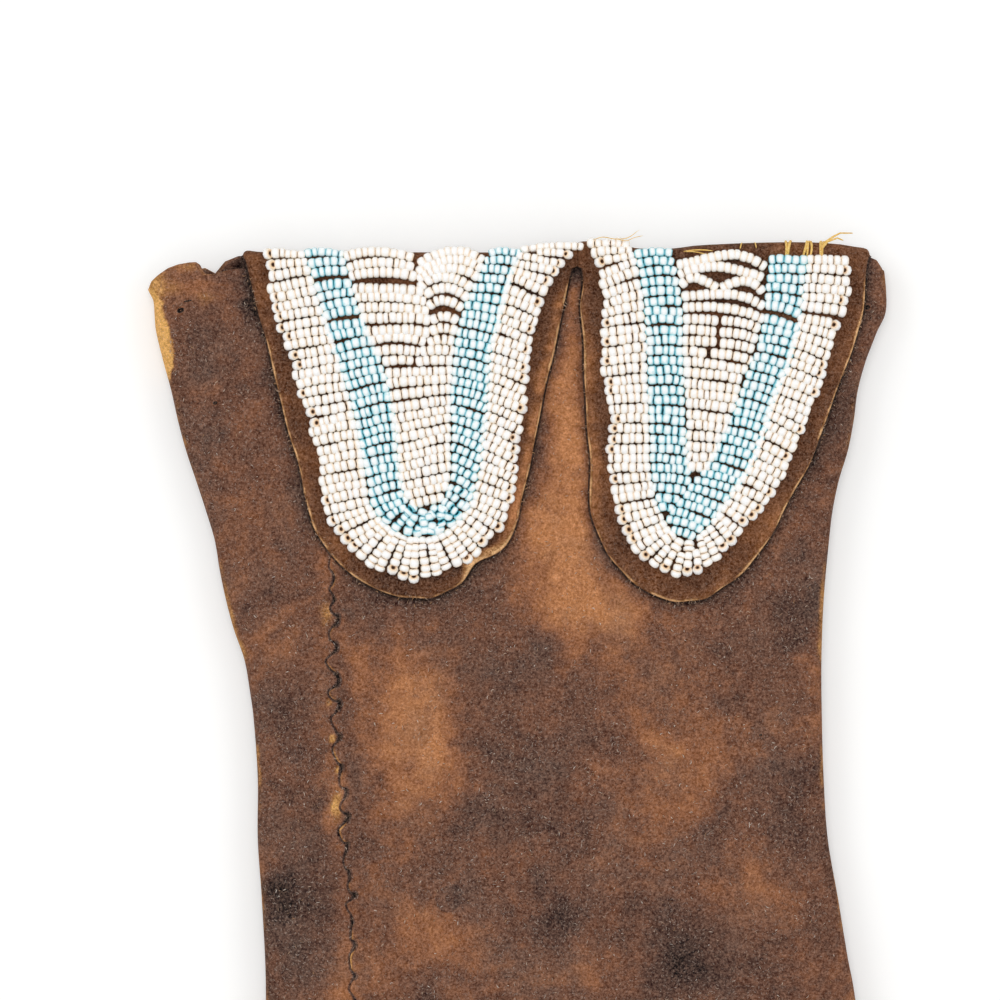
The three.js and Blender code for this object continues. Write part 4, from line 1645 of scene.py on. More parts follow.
LEFT_BORDER = Ladder(
    (
        (-57.6, -0.7, -48.7, -0.7), (-56.9, 4.7, -47.3, 3.1), (-55.3, 13.1, -44.9, 11.3),
        (-52.9, 19.3, -42.4, 17.6), (-50.4, 28, -40, 26.2), (-48.4, 35.1, -38.2, 33.1),
        (-46.2, 42.2, -36.4, 40.4), (-45.1, 50, -35.1, 48), (-44, 56.9, -34.4, 54.4),
        (-42.2, 60.4, -32.9, 56.4), (-39.3, 64.2, -31.1, 58.4), (-34.9, 68, -28.9, 60.2),
        (-29.8, 70.2, -26.4, 61.6), (-23.6, 71.6, -23.6, 62), (-17.6, 70, -20.4, 61.8),
        (-12.9, 67.6, -17.8, 60.7), (-8.9, 64.4, -15.3, 58.7), (-5.8, 61.1, -13.3, 56.4),
        (-3.8, 56.9, -11.8, 53.8), (-2.2, 51.6, -10.2, 48), (-1.3, 43.6, -9.1, 40),
        (0, 33.8, -8.2, 30.4), (1.1, 24.9, -7.6, 21.6), (2.4, 16, -6, 12.7), (4.2, 9.3, -4.2, 6),
        (6.4, 4.4, -2.9, 1.8), (9.3, 0.9, -1.6, -0.7), (13.1, -2.4, -0.7, -2),
    ),
    tipped=0.52,
    ragged=0.25,
    gaps=((-53.0, 4.0, 0.4), (-53.0, 8.6, 0.3), (-5.0, 6.6, 0.4)),
)
LEFT_BLUE = Ladder(
    (
        (-48.7, -0.8, -40, -0.8), (-46.7, 5.8, -38.7, 4.7), (-45.1, 11.3, -37.1, 10),
        (-43.3, 18.4, -34.4, 16.7), (-40.4, 26, -31.3, 24), (-38.2, 33.3, -29.3, 31.3),
        (-36.7, 41.1, -28.2, 39.1), (-35.1, 48.4, -27.6, 46.7), (-34, 54.4, -26.7, 52),
        (-31.1, 58.7, -25.1, 54.4), (-27.6, 61.1, -23.8, 55.3), (-23.6, 62, -22.2, 55.8),
        (-19.6, 61.6, -20.7, 55.6), (-15.8, 59.6, -18.9, 54.9), (-12.9, 56.2, -17.3, 52.4),
        (-10.9, 51.6, -16.4, 48.7), (-9.8, 46, -16, 43.1), (-8.7, 38.7, -16.2, 36),
        (-8, 31.6, -16.4, 29.3), (-7.6, 24.9, -15.8, 22.9), (-6.2, 17.1, -14.7, 15.3),
        (-4, 9.8, -12.4, 8.7), (-2.7, 4.2, -9.8, 3.3), (-0.7, -1, -7.8, -0.9),
    ),
    bow=(0.3, 0.3),
    short=0.8,
    gaps=((-44.0, 5.0, 0.9), (-41.0, 14.2, 0.4), (-40.0, 17.6, 0.5)),
)
LEFT_BLUE_TOE = LooseRows((
    (-26.2, 57, -24.4, 55.6, 0, 0), (-20.2, 61, -18, 60.1, 0, 0), (-21.6, 57.1, -20, 56.8, 0, 0),
    (-22.5, 61.4, -21.9, 57.9, 0, 0), (-18.6, 57.4, -17.2, 55.6, 0, 0),
))
LEFT_CENTRE = (
    Ladder(
        (
            (-40.1, -0.2, -24.6, 0), (-39.2, 3, -24.4, 3), (-37.6, 7.8, -22, 8.6),
            (-35.9, 15.4, -20.8, 15.6), (-33.4, 20.8, -23, 20.6), (-31.4, 23.2, -24.6, 22.9),
        ),
        bow=(1.0, 0.5),
        bow_spread=0.25,
        gaps=((-33.0, 4.0, 0.5), (-31.0, 15.8, 0.6)),
    ),
    LooseRows((
        (-23.6, 1.5, -9, 0.9, 2.4, -0.2), (-23.8, 3.3, -9, 2.4, 2.4, -0.2),
        (-23.8, 5, -10, 4.6, 2.5, 0), (-23.4, 6.6, -11.5, 6.9, 2.5, 0.1),
        (-22.2, 8.6, -12.3, 9.2, 2.2, 0.1), (-21.4, 11, -13.6, 11.4, 1.6, 0.1),
        (-20.8, 14.1, -14.7, 14.1, 1.1, 0), (-20.8, 16.5, -14.8, 16.4, 0.9, 0),
        (-21.4, 18.9, -15.6, 18.6, 0.6, 0), (-23, 21, -15.6, 20.8, 0.5, 0),
        (-24, 23.2, -15.8, 22.9, 0.3, 0),
    )),
    Ladder(
        (
            (-30.6, 25.6, -15.8, 25), (-30.2, 30.4, -16.2, 29), (-28.7, 38.2, -16.2, 35.6),
            (-28, 47.1, -16.4, 44.4), (-26.7, 52.4, -16.5, 50.3), (-25.1, 54.9, -17.9, 53.2),
        ),
        crowd=0.5,
        gaps=((-26.0, 28.0, 0.5), (-26.0, 31.8, 0.5)),
    ),
)
RIGHT_BORDER = Ladder(
    (
        (13.8, -3.4, 23.3, -2.8), (15.6, 0, 24, -1.1), (16.9, 4, 24.9, 0.9), (17.6, 9.3, 26, 6.7),
        (17.3, 14.9, 26.7, 13.3), (17.1, 22.7, 27.1, 21.6), (18.9, 32.4, 27.6, 32),
        (18.9, 40.4, 27.8, 40.2), (19.1, 47.1, 28, 46.7), (19.8, 53.8, 28.9, 52.4),
        (21.1, 58.7, 30.2, 56), (23.1, 62.9, 31.6, 58.9), (25.3, 66.2, 33.1, 60.9),
        (29.1, 68.9, 34.4, 62), (34.7, 71.1, 36.2, 62.9), (39.8, 69.1, 38.2, 62), (44, 65.6, 40.4, 60),
        (47.3, 61.8, 42.4, 57.1), (50.7, 57.8, 44.4, 54), (54.7, 53.6, 47.3, 50), (58, 48, 50.2, 44.4),
        (60.9, 41.1, 52.9, 37.3), (63.8, 33.3, 55.6, 30), (66.7, 26.4, 58.2, 23.1),
        (68.4, 18.7, 60.2, 16), (70.9, 13.3, 61.1, 11.6), (72, 7.1, 62, 6.4), (72.2, 0.7, 62.9, 0.5),
    ),
    tipped=0.52,
    ragged=0.28,
    gaps=((22.0, 5.8, 0.4), (66.5, 14.0, 1.0)),
)
RIGHT_BLUE = (
    Ladder(
        (
            (24.6, -0.7, 32.9, -0.9), (25.8, 4.6, 34, 4.2), (26.7, 12, 35.1, 11.8),
            (27.1, 20.4, 35.3, 20.4), (27.6, 31.6, 35.6, 32), (27.8, 40.4, 36, 41.1),
            (28.2, 48.2, 36.9, 49.1), (28.7, 52, 35.3, 52.7), (29.8, 55.6, 33.3, 55.6),
        ),
        bow=(0.5, 0.2),
        crowd=0.5,
    ),
    Ladder(
        (
            (54.5, 0.5, 62.9, 0.5), (53.8, 5.3, 62.2, 5.5), (53.3, 12, 61.1, 14.2),
            (51.9, 18.9, 60, 20.9), (48.9, 27.1, 56.4, 29.5), (44.6, 38, 53.2, 40.2),
            (40.9, 45.3, 49.9, 48.1), (37.9, 49.1, 46.9, 51.4), (35.6, 51.8, 44.7, 54.9),
            (33.4, 54.7, 42.2, 57.8), (31.6, 57.6, 40, 60.2), (32.6, 60.4, 37.8, 62.2),
        ),
        bow=(0.3, 0.3),
        crowd=0.5,
        gaps=((57.5, 13.4, 0.7),),
    ),
)
RIGHT_CENTRE = (
    LooseRows((
        (34, 1.7, 53.6, 2.2, 2.4, -0.6), (34.2, 3.8, 53, 4.4, 2.1, 0.2), (34.3, 6.3, 43, 6.9, 2, 0.3),
        (43.6, 6.9, 53.2, 7.8, 2.3, -0.2), (35.1, 8.7, 53.3, 10.8, 1.7, -0.3),
        (35.3, 11.2, 53.3, 13.7, 1.3, 0), (35.3, 13.6, 43, 14, 0.2, 0), (43.8, 13.9, 52.2, 15.8, 0.5, 0),
        (35.2, 16, 42.6, 16.3, 0.1, 0), (43.5, 16.4, 51.8, 18.2, 0.4, 0),
        (35.2, 18.4, 42.6, 18.7, 0.1, 0), (43.5, 18.9, 51, 20.5, 0.3, 0),
        (35.1, 20.8, 40.6, 21.1, 0.1, 0), (41.4, 21.2, 50.7, 22.9, 0.3, 0),
        (35.2, 23.1, 49.6, 25.1, 0.3, 0.1),
    )),
    Ladder(
        (
            (35.3, 25.4, 48.3, 27.1), (36, 32.4, 46.9, 33.5), (36, 39, 43.8, 40.2),
            (36.2, 46.2, 41.2, 46.5),
        ),
        bow=(0.2, 0.1),
        crowd=0.5,
    ),
)


@dataclass(frozen=True)
class FuzzFinish:
    """Loose hide fibres, from golden to dusty pale."""

    name: str
    golden: Colour = (0.420, 0.230, 0.110)
    dusty: Colour = (0.780, 0.690, 0.610)

    def material(self) -> Material:
        """Colour picked by each fibre's own tint.

        Returns:
            The fibre material.
        """
        board = NodeBoard(bpy.data.materials.new(self.name))
        colour = board.ramp(board.value("tint"), ((0.0, self.golden), (1.0, self.dusty)))
        return board.surface(Base_Color=colour, Roughness=0.8, Specular_IOR_Level=0.2)


@dataclass
class HideFuzz:
    """Loose curled fibres on the suede: some on the bag's front, more along the flaps' cut edges."""

    bag: BagHide
    cuff: CuffHide
    on_front: int = 4600
    on_edges: int = 420
    places: int = 5
    sides: int = 3
    seed: int = 71
    # Share of the fibres, and the depth above which they lie.
    thinning: Points = ((0.0, 8.0), (0.62, 150.0), (0.84, 230.0), (1.0, 350.0))

    def build(self, material: Material) -> Thing:
        """Strews the fibres: each is an arc of a circle lying on the hide, lifted in the middle.

        Args:
            material: the fibres' finish.

        Returns:
            The fibres' object.
        """
        rng = np.random.default_rng(self.seed)
        path = np.concatenate([self.front(rng), self.edges(rng)])
        share = np.linspace(-1.0, 1.0, self.places)
        thick = 0.035 + 0.085 * rng.uniform(0.0, 1.0, len(path)) ** 2
        points, faces = tubes(path, thick[:, None] * np.sqrt(1.05 - share**2), self.sides)
        tint = rng.uniform(0.0, 1.0, len(path)) * np.where(np.arange(len(path)) < self.on_front, 1.0, 0.35)
        tint = np.repeat(tint, self.places * self.sides + 2)
        return Piece("loose_hide_fibres", Slot.BAG.value).build(points, faces, material, {"tint": tint})

    def arcs(self, rng: np.random.Generator, count: int, low: float, high: float) -> Array:
        """Flat arcs with seeded lengths, headings and bends.

        Args:
            rng: the fibres' random numbers.
            count: how many.
            low: shortest.
            high: longest.

        Returns:
            Offsets from each arc's middle, by fibre and place.
        """
        share = np.linspace(-0.5, 0.5, self.places)
        length = rng.uniform(low, high, count)[:, None] * share
        heading = rng.uniform(0.0, FULL_TURN, count)[:, None] + rng.normal(0.0, 0.8, count)[:, None] * share
        return np.stack([length * np.cos(heading), length * np.sin(heading)], axis=-1)

    def front(self, rng: np.random.Generator) -> Array:
        """Fibres on the bag's front, crowded where a ripple is high and thinned out towards the bottom.

        Args:
            rng: the fibres' random numbers.

        Returns:
            Points by fibre and place.
        """
        down = np.interp(rng.uniform(0.0, 1.0, 2 * self.on_front), *np.array(self.thinning).T)
        left, right = self.bag.edges(down)
        x = left + 2.0 + (right - left - 4.0) * rng.uniform(size=2 * self.on_front)
        crowd = ripples(x, down, 16.0, 73) + rng.normal(0.0, 0.5, 2 * self.on_front)
        kept = np.argsort(crowd)[self.on_front :]
        flat = np.stack([x, down], axis=1)[kept, None] + self.arcs(rng, self.on_front, 0.3, 1.0)
        arch = np.sin(np.linspace(0.0, np.pi, self.places))
        return self.bag.lay(flat, 0.03 + 0.12 * rng.uniform(size=(self.on_front, 1)) * arch)

    def edges(self, rng: np.random.Generator) -> Array:
        """Fibres along the flaps' cut edges.

        Args:
            rng: the fibres' random numbers.

        Returns:
            Points by fibre and place.
        """
        edge = np.concatenate([self.cuff.outline(flap)[0] for flap in FLAPS])
        edge = edge[edge[:, 1] > 4.0]
        base = edge[rng.integers(0, len(edge), self.on_edges)] + rng.normal(0.0, 0.5, (self.on_edges, 2))
        flat = base[:, None] + self.arcs(rng, self.on_edges, 0.4, 1.1)
        rise = rng.uniform(-0.5, 0.1, (self.on_edges, 1)) + 0.2 * np.sin(np.linspace(0.0, np.pi, self.places))
        return self.cuff.lay(flat[..., 0], flat[..., 1], rise)


@dataclass
class PunchedHoles:
    """Old awl holes in the bag's front: shallow pits painted dark as shade, inside a low raised rim."""

    bag: BagHide
    # x, depth, half width, half depth and slant of each hole.
    holes: Table = (
        (-76.4, 11.6, 0.75, 0.5, 0.35), (-74.8, 9.5, 0.9, 0.22, 0.2), (-68.7, 32.2, 0.5, 0.35, 0.3),
        (9.1, 10.1, 0.5, 0.42, 0.3), (76.4, 10.9, 0.55, 0.5, 0.3), (52.6, 106, 0.35, 0.25, 0.2),
    )
    around: int = 20
    # Distance from the hole's middle, rise and tone; the dark tones in the pit are painted shade.
    profile: Table = (
        (2, -0.08, 0), (1.6, 0.04, 0.05), (1.3, 0.13, 0.10), (1.05, 0.11, -0.1), (0.85, 0.05, -0.6),
        (0.45, 0.02, -0.7), (0.2, 0.02, -0.7), (0.2, -0.4, -0.7), (2, -0.4, 0),
    )

    def build(self, material: Material) -> Thing:
        """Turns the rim's profile about each hole's middle, squeezed to an oval, on the front wall's height.

        Args:
            material: the bag's suede.

        Returns:
            The rims' object.
        """
        out, rise, tone = np.array(self.profile).T
        x, down, wide, deep, slant = np.array(self.holes).T[:, :, None, None]
        turn = np.linspace(0.0, FULL_TURN, self.around, endpoint=False)[:, None]
        across = x + out * (wide * np.cos(turn) + slant * deep * np.sin(turn))
        along = down + out * (deep * np.sin(turn) - slant * wide * np.cos(turn))
        points = self.bag.lay(np.stack([across, along], axis=-1), rise).reshape(-1, 3)
        values = {"tone": np.broadcast_to(tone, across.shape).ravel(), "rub": np.zeros(across.size)}
        faces = [ring_faces(*across.shape)]
        return Piece("awl_hole_rims", Slot.BAG.value).build(points, faces, material, values)


@dataclass
class SeamLip:
    """The right-hand hide's scalloped edge, which lies over the left-hand one along the front seam."""

    bag: BagHide
    bottom: float = 346.0
    steps: int = 6
    lobe_pitch: float = 6.3
    key_step: float = 1.5
    reach: float = 5.0
    # Distance outwards, share of the way to the hide on the right, rise, tone and rub. The dark tones at and past the
    # edge are painted shadow under the lip, and the light tones and rub on its crest are a painted highlight on the
    # raised lobes as well as rubbed wear.
    section: Table = (
        (1, 0, -0.05, 0, 0), (0.56, 0, 0.03, -0.10, 0), (0.42, 0, 0.04, -0.48, 0),
        (0.02, 0, 0.04, -0.60, 0), (0, 0, 0.26, -0.20, 0), (-0.12, 0, 0.44, 0.06, 0.34),
        (-0.36, 0, 0.54, 0.08, 0.20), (-0.60, 0, 0.54, 0.04, 0), (-0.60, 0.35, 0.32, -0.02, 0),
        (-0.60, 0.68, 0.08, -0.03, 0), (0, 1, -0.15, 0, 0), (0, 1, -0.6, 0, 0), (1, 0, -0.6, 0, 0),
    )
    # x and depth of the edge where the picture shows it.
    traced: Points = (
        (-42.6, 60), (-42.9, 66), (-43.2, 68.6), (-42.4, 69.8), (-42, 71.2), (-42.5, 72.6), (-43.1, 73.6),
        (-42.2, 75), (-42, 76.2), (-42.9, 77.7), (-42.2, 78.9), (-41.2, 79.3), (-41.1, 80.3),
        (-41.4, 81.5), (-42.4, 82.1), (-43, 82.9), (-43.2, 83.8), (-42.8, 84.9), (-41.7, 85.4),
        (-41.4, 86.4), (-41.6, 87.4), (-42.6, 88.2), (-43.7, 89.2), (-43.9, 89.9), (-43.2, 91),
        (-42.5, 91.7), (-41.7, 92.2), (-41.1, 93), (-40.9, 94), (-41.3, 95), (-42.4, 95.7), (-43.3, 96.3),
        (-43.2, 97.3), (-42.2, 98.2), (-41, 98.3), (-40.7, 98.9), (-40.9, 100), (-41.7, 101.2),
        (-42.6, 102), (-42.7, 102.9), (-42.2, 104.1), (-41.4, 105.4), (-40.7, 106), (-40.7, 106.6),
        (-41.2, 107.5), (-42.2, 108.5), (-42.4, 109.6), (-41.9, 111), (-41.3, 112), (-40.4, 112.7),
        (-40.3, 113.6), (-40.7, 114.8), (-40.9, 115.8), (-40.7, 117.3), (-39.6, 117.8), (-39.3, 118.8),
        (-39.6, 120.1), (-40.5, 121.3), (-40.7, 122.4), (-40, 123.1), (-39, 123.5), (-38.8, 124.4),
        (-39.6, 125.5), (-40.7, 126.5), (-41.1, 127.3), (-40.8, 128.6), (-40.1, 129.7), (-39.1, 129.9),
        (-39.1, 130.9), (-39.3, 131.9), (-39.7, 132.9), (-40, 133.9), (-39.8, 135), (-39.4, 135.7),
        (-38.7, 136.3), (-38.5, 138.1), (-39, 139.2), (-38.9, 140.1), (-38.4, 140.9), (-37.4, 141.2),
        (-37.4, 141.8), (-38.3, 142.8), (-39.2, 143.4), (-39.4, 143.9), (-39, 144.9), (-38.2, 146.1),
        (-38, 147.2), (-37.9, 147.8), (-38.2, 148.8), (-38.3, 150.3), (-38.3, 151.4), (-37.7, 151.7),
        (-37.4, 152.7), (-37.6, 153.6), (-38.5, 154.8), (-38.7, 156.1), (-38.5, 157.4), (-38.4, 158.1),
    )

    def keys(self) -> Array:
        """Points of the edge: measured where the picture shows it, and an uneven wave along the seam below.

        Returns:
            x and depth of each point.
        """
        down = np.arange(self.traced[-1][1] + self.key_step, self.bottom, self.key_step)
        turn = FULL_TURN * down / self.lobe_pitch + 0.9 * np.sin(down / 17.0)
        swing = 0.6 + 0.3 * np.sin(down / 11.0)
        wave = np.stack([self.bag.seam_at(down) + swing * np.sin(turn), down], axis=1)
        return np.concatenate([np.array(self.traced), wave])

    def edge(self, at: Array) -> Array:
        """x and depth on the edge, at numbers of its points and shares between them."""
        return numbered_curve(self.keys(), at)

    def outward(self, at: Array) -> Array:
        """Directions square to the edge, away from the right-hand hide."""
        run = unit(self.edge(at + 0.15) - self.edge(at - 0.15))
        return np.stack([-run[:, 1], run[:, 0]], axis=-1)

    def build(self, material: Material) -> Thing:
        """Carries a flat lip's cross-section along the edge: steep there, level with the hide further right.

        Args:
            material: the bag's suede.

        Returns:
            The lip's object.
        """
        last = len(self.keys()) - 1
        at = np.linspace(0.0, last, last * self.steps)
        out, share, rise, tone, rub = np.array(self.section).T
        edge = self.edge(at)
        seam = self.bag.seam_at(edge[:, 1])
        neck = smooth_step(-0.5, 0.9, edge[:, 0] - seam)[:, None]
        reach = np.where(out > 0.0, out * (0.7 + 0.6 * neck), out)
        base = edge[:, None] + self.outward(at)[:, None] * reach[..., None]
        anchor = np.stack([seam + self.reach, edge[:, 1]], axis=-1)
        flat = base + (anchor[:, None] - base) * share[None, :, None]
        ends = smooth_step(0.0, 2.0, at) * smooth_step(last, last - 2.0, at)
        swell = np.where(rise > 0.05, rise * (1.15 - 0.75 * neck), rise)
        grid = self.bag.lay(flat, np.where(rise > 0.0, swell * ends[:, None], rise))
        points = np.concatenate([grid.reshape(-1, 3), grid[[0, -1]].mean(axis=1)])
        x, down = np.moveaxis(flat, -1, 0)
        # Rub on the lobes' crests, rubbed wear and a painted highlight both, less at the necks.
        bare = np.clip(0.3 + 1.3 * ripples(x, down, 11.0, 8), 0.0, 1.5) * (1.2 - neck)
        # Painted shadow under the edge, darker at the necks between the lobes.
        shading = np.where(tone < -0.15, tone * (0.45 + 0.45 * neck), tone)
        # Painted shade on the lip just inside the edge at each neck.
        pinch = 0.26 * neck**2 * ((out < 0.0) & (out > -0.5))
        values = {
            "tone": np.append((self.bag.tone(x, down) + shading - pinch).ravel(), [0.0, 0.0]),
            "rub": np.append((rub * bare).ravel(), [0.0, 0.0]),
        }
        piece = Piece("front_seam_lip", Slot.BAG.value)
        return piece.build(points, capped_faces(*grid.shape[:2]), material, values)


@dataclass
class SinewWork:
    """Split sinew: whip stitches in the front seam, stitches over the cuff's fold and the bottom thread."""

    bag: BagHide
    cuff: CuffHide
    sides: int = 6
    places: int = 22
    seam_seed: int = 61
    seam_pitch: float = 3.1
    seam_radius: float = 0.13
    bottom_pitch: float = 3.4
    bottom_start: float = 355.2
    bottom_reach: float = 4.9
    bottom_radius: float = 0.27
    # Points of the two strands of the loose end by the notch.
    loose: tuple[tuple[tuple[float, float, float], ...], ...] = (
        ((15.2, 3.9, 15.4), (17.5, 4.5, 15.8), (20.2, 4.1, 15.6), (23.0, 4.4, 14.9), (25.6, 6.2, 13.6)),
        ((20.4, 4.1, 15.5), (22.6, 3.7, 15.3), (24.4, 4.4, 14.8), (25.6, 4.7, 14.2), (26.4, 4.9, 13.6)),
    )
    thread_radii: tuple[float, ...] = (0.17, 0.13, 0.16, 0.14, 0.10, 0.08)

    def seam(self, lip: SeamLip, material: Material) -> Thing:
        """Short stitches over the seam's edge, about two to a lobe, half sunk in the hide.

        Args:
            lip: the seam's scalloped edge.
            material: the sinew.

        Returns:
            The stitches' object.
        """
        rng = np.random.default_rng(self.seam_seed)
        at = np.arange(5.0, len(lip.keys()) - 4.0, self.seam_pitch)
        at = at + rng.normal(0.0, 0.4, at.shape)
        share = np.linspace(-1.0, 1.0, 7)
        reach = rng.uniform(0.25, 0.45, at.shape)[:, None]
        flat = lip.edge(at)[:, None] + lip.outward(at)[:, None] * (share * reach)[..., None]
        radius = np.broadcast_to(self.seam_radius * np.sqrt(1.02 - share**2), flat.shape[:2])
        points, faces = tubes(self.bag.lay(flat, 0.22 - 0.20 * share), radius, self.sides)
        return Piece("seam_sinew_stitches", Slot.SINEW.value, ("seam_sinew",)).build(points, faces, material)

    def bottom(self, material: Material) -> Thing:
        """Whip stitches over the pinched bottom edge, each an arch from the front wall round the edge.

        Args:
            material: the sinew.

        Returns:
            The stitches' object.
        """
        left, right = self.bag.edges(np.array([356.0]))
        across = np.arange(float(left[0]) + 6.0, float(right[0]) - 5.0, self.bottom_pitch)
        share = np.linspace(0.0, 1.0, 9)
        x = across[:, None] + 1.1 * share
        down = np.broadcast_to(self.bottom_start + self.bottom_reach * np.sin(share * np.pi / 2.0), x.shape)
        z = self.bag.front(x, np.minimum(down, 359.9)) + 0.12 - 0.1 * share
        radius = self.bottom_radius * np.sqrt(1.02 - (2.0 * share - 1.0) ** 4)
        radius = np.broadcast_to(radius, x.shape)
        points, faces = tubes(np.stack([x, -down, np.maximum(z, 0.35)], axis=-1), radius, self.sides)
        piece = Piece("bottom_sinew_stitches", Slot.SINEW.value, ("bottom_sinew",))
        return piece.build(points, faces, material)

    def over_fold(
        self, name: str, x: float, slant: float, spread: Points, tail: Array, material: Material
    ) -> Thing:
        """One stitch over the cuff's fold: two or three strands side by side, and any loose ends.

        Args:
            name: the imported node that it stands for.
            x: where it starts in front.
            slant: how far it leans to the right.
            spread: side shift and thickness of each strand.
            tail: points of the loose ends, none for a stitch without one.
            material: the sinew.

        Returns:
            The stitch's object.
        """
        along = np.linspace(0.6, -6.4, self.places)
        share = np.linspace(0.0, 1.0, self.places)
        shift, thick = np.array(spread).T
        across = x + shift[:, None] * (1.0 + 0.5 * np.sin(share * 5.0 + shift[:, None] * 9.0)) + slant * share
        path = self.cuff.lay(across, along, 0.1 + 0.1 * np.sin(share * np.pi))
        radius = thick[:, None] * (0.75 + 0.25 * np.sin(share * np.pi))
        points, faces = tubes(path, radius, self.sides)
        if len(tail):
            more = np.stack([self.drawn(line) for line in tail])
            thin = np.broadcast_to(0.34 - 0.20 * share, more.shape[:2])
            tail_points, tail_faces = tubes(more, thin, self.sides)
            faces = faces + [block + len(points) for block in tail_faces]
            points = np.concatenate([points, tail_points])
        return Piece(f"{name}_strands", Slot.SINEW.value, (name,)).build(points, faces, material)

    def drawn(self, line: Array) -> Array:
        """Places spread evenly over straight lines from point to point of a loose end."""
        at = np.linspace(0, len(line) - 1, self.places)
        return np.stack([np.interp(at, np.arange(len(line)), column) for column in line.T], axis=1)

    def fold_threads(self, material: Material) -> Thing:
        """Other threads along the fold: a flat stitch, two worn ones and a loose forked end by the notch.

        Args:
            material: the sinew.

        Returns:
            The threads' object.
        """
        share = np.linspace(0.0, 1.0, self.places)
        arch = np.sin(share * np.pi)
        flat = [
            self.cuff.lay(35.4 + 6.6 * share, -1.5 - 0.25 * np.sin(share * 3.0), 0.06 + 0.12 * arch),
            self.cuff.lay(36.0 + 5.6 * share, -1.1 - 0.3 * np.sin(share * 4.0 + 1.0), 0.06 + 0.1 * arch),
            self.cuff.lay(48.0 + 0.5 * share, -2.0 - 2.6 * share, 0.05),
            self.cuff.lay(51.6 - 0.3 * share, -2.2 - 2.8 * share, 0.05),
        ]
        ends = [numbered_curve(np.array(line), share * (len(line) - 1)) for line in self.loose]
        thick = np.array(self.thread_radii)[:, None] * np.sqrt(1.05 - (2.0 * share - 1.0) ** 4)
        points, faces = tubes(np.stack(flat + ends), thick, self.sides)
        return Piece("fold_threads", Slot.SINEW.value).build(points, faces, material)


@dataclass
class Studio:
    """Plain pale floor, soft lamps and a camera straight above the cuff."""

    picture_width: float = 222.2
    picture_centre: tuple[float, float] = (-5.33, -53.78)
    picture_height: float = 12.0
    distance: float = 1600.0
    sensor: float = 36.0
    fill: float = 0.60
    floor_reach: float = 4.0
    floor_drop: float = 5e-5
    floor_glow: float = 0.22
    # Name, place in metres, size in metres and power in watts.
    lamps: tuple[tuple[str, tuple[float, float, float], float, float], ...] = (
        ("left_softbox", (-0.90, 0.60, 1.00), 0.8, 3.1),
        ("right_softbox", (0.90, 0.30, 1.05), 0.8, 2.1),
        ("top_softbox", (-0.05, 0.30, 1.50), 0.6, 5.5),
    )

    def camera(self) -> None:
        """Sets the camera: its distance and lens make the picture's width at the height of the front wall."""
        data = bpy.data.cameras.new("camera")
        data.sensor_width = self.sensor
        data.lens = self.sensor * self.distance / self.picture_width
        data.clip_end = 20.0
        thing = placed("camera", data)
        x, y = self.picture_centre
        thing.location = DATUM.to_frame(np.array([x, y, self.picture_height + self.distance]))
        bpy.context.scene.camera = thing

    def light(self) -> None:
        """Sets the softboxes, which point at the cuff, and an even fill from all sides."""
        target = DATUM.to_frame(np.array([0.0, -60.0, 0.0]))
        for name, place, size, power in self.lamps:
            data = bpy.data.lights.new(name, "AREA")
            data.shape = "DISK"
            data.size = size
            data.energy = power
            thing = placed(name, data)
            thing.location = place
            away = thing.location.copy()
            away.x, away.y, away.z = np.array(place) - target
            thing.rotation_euler = away.to_track_quat("Z", "Y").to_euler()
            thing.visible_camera = False
        board = NodeBoard(bpy.data.worlds.new("studio"))
        span = {"Value": self.seen(board), "To Min": self.fill, "To Max": 1.0}
        strength = board.add("ShaderNodeMapRange", span).outputs[0]
        glow = {"Color": (1.0, 1.0, 1.0, 1.0), "Strength": strength}
        background = board.add("ShaderNodeBackground", glow)
        board.add("ShaderNodeOutputWorld", {"Surface": background.outputs[0]})
        bpy.context.scene.world = board.owner

    @staticmethod
    def seen(board: NodeBoard) -> Socket:
        """1 for what the camera sees, directly or mirrored or through glass.

        Args:
            board: the nodes to add to.

        Returns:
            The number.
        """
        path = board.add("ShaderNodeLightPath").outputs
        mirrored = board.sum("MAXIMUM", path["Is Camera Ray"], path["Is Glossy Ray"])
        return board.sum("MAXIMUM", mirrored, path["Is Transmission Ray"])

    def floor(self) -> None:
        """A wide pale floor: its own glow makes it white, and the bag's shadow still shows on it."""
        board = NodeBoard(bpy.data.materials.new("pale_floor"))
        glow = board.times(self.seen(board), self.floor_glow)
        grain = board.noise(30.0, 2.0, 0.5)
        pale = board.ramp(grain, ((0.3, (0.84, 0.84, 0.83)), (0.7, (0.86, 0.86, 0.85))))
        material = board.surface(
            Base_Color=pale, Roughness=0.9, Emission_Color=(1.0, 1.0, 1.0, 1.0), Emission_Strength=glow
        )
        mesh = bpy.data.meshes.new("floor")
        signs = ((-1.0, -1.0), (1.0, -1.0), (1.0, 1.0), (-1.0, 1.0))
        corners = [(x * self.floor_reach, y * self.floor_reach, -self.floor_drop) for x, y in signs]
        mesh.from_pydata(corners, [], [(0, 1, 2, 3)])
        mesh.materials.append(material)
        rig.stage(placed("floor", mesh))


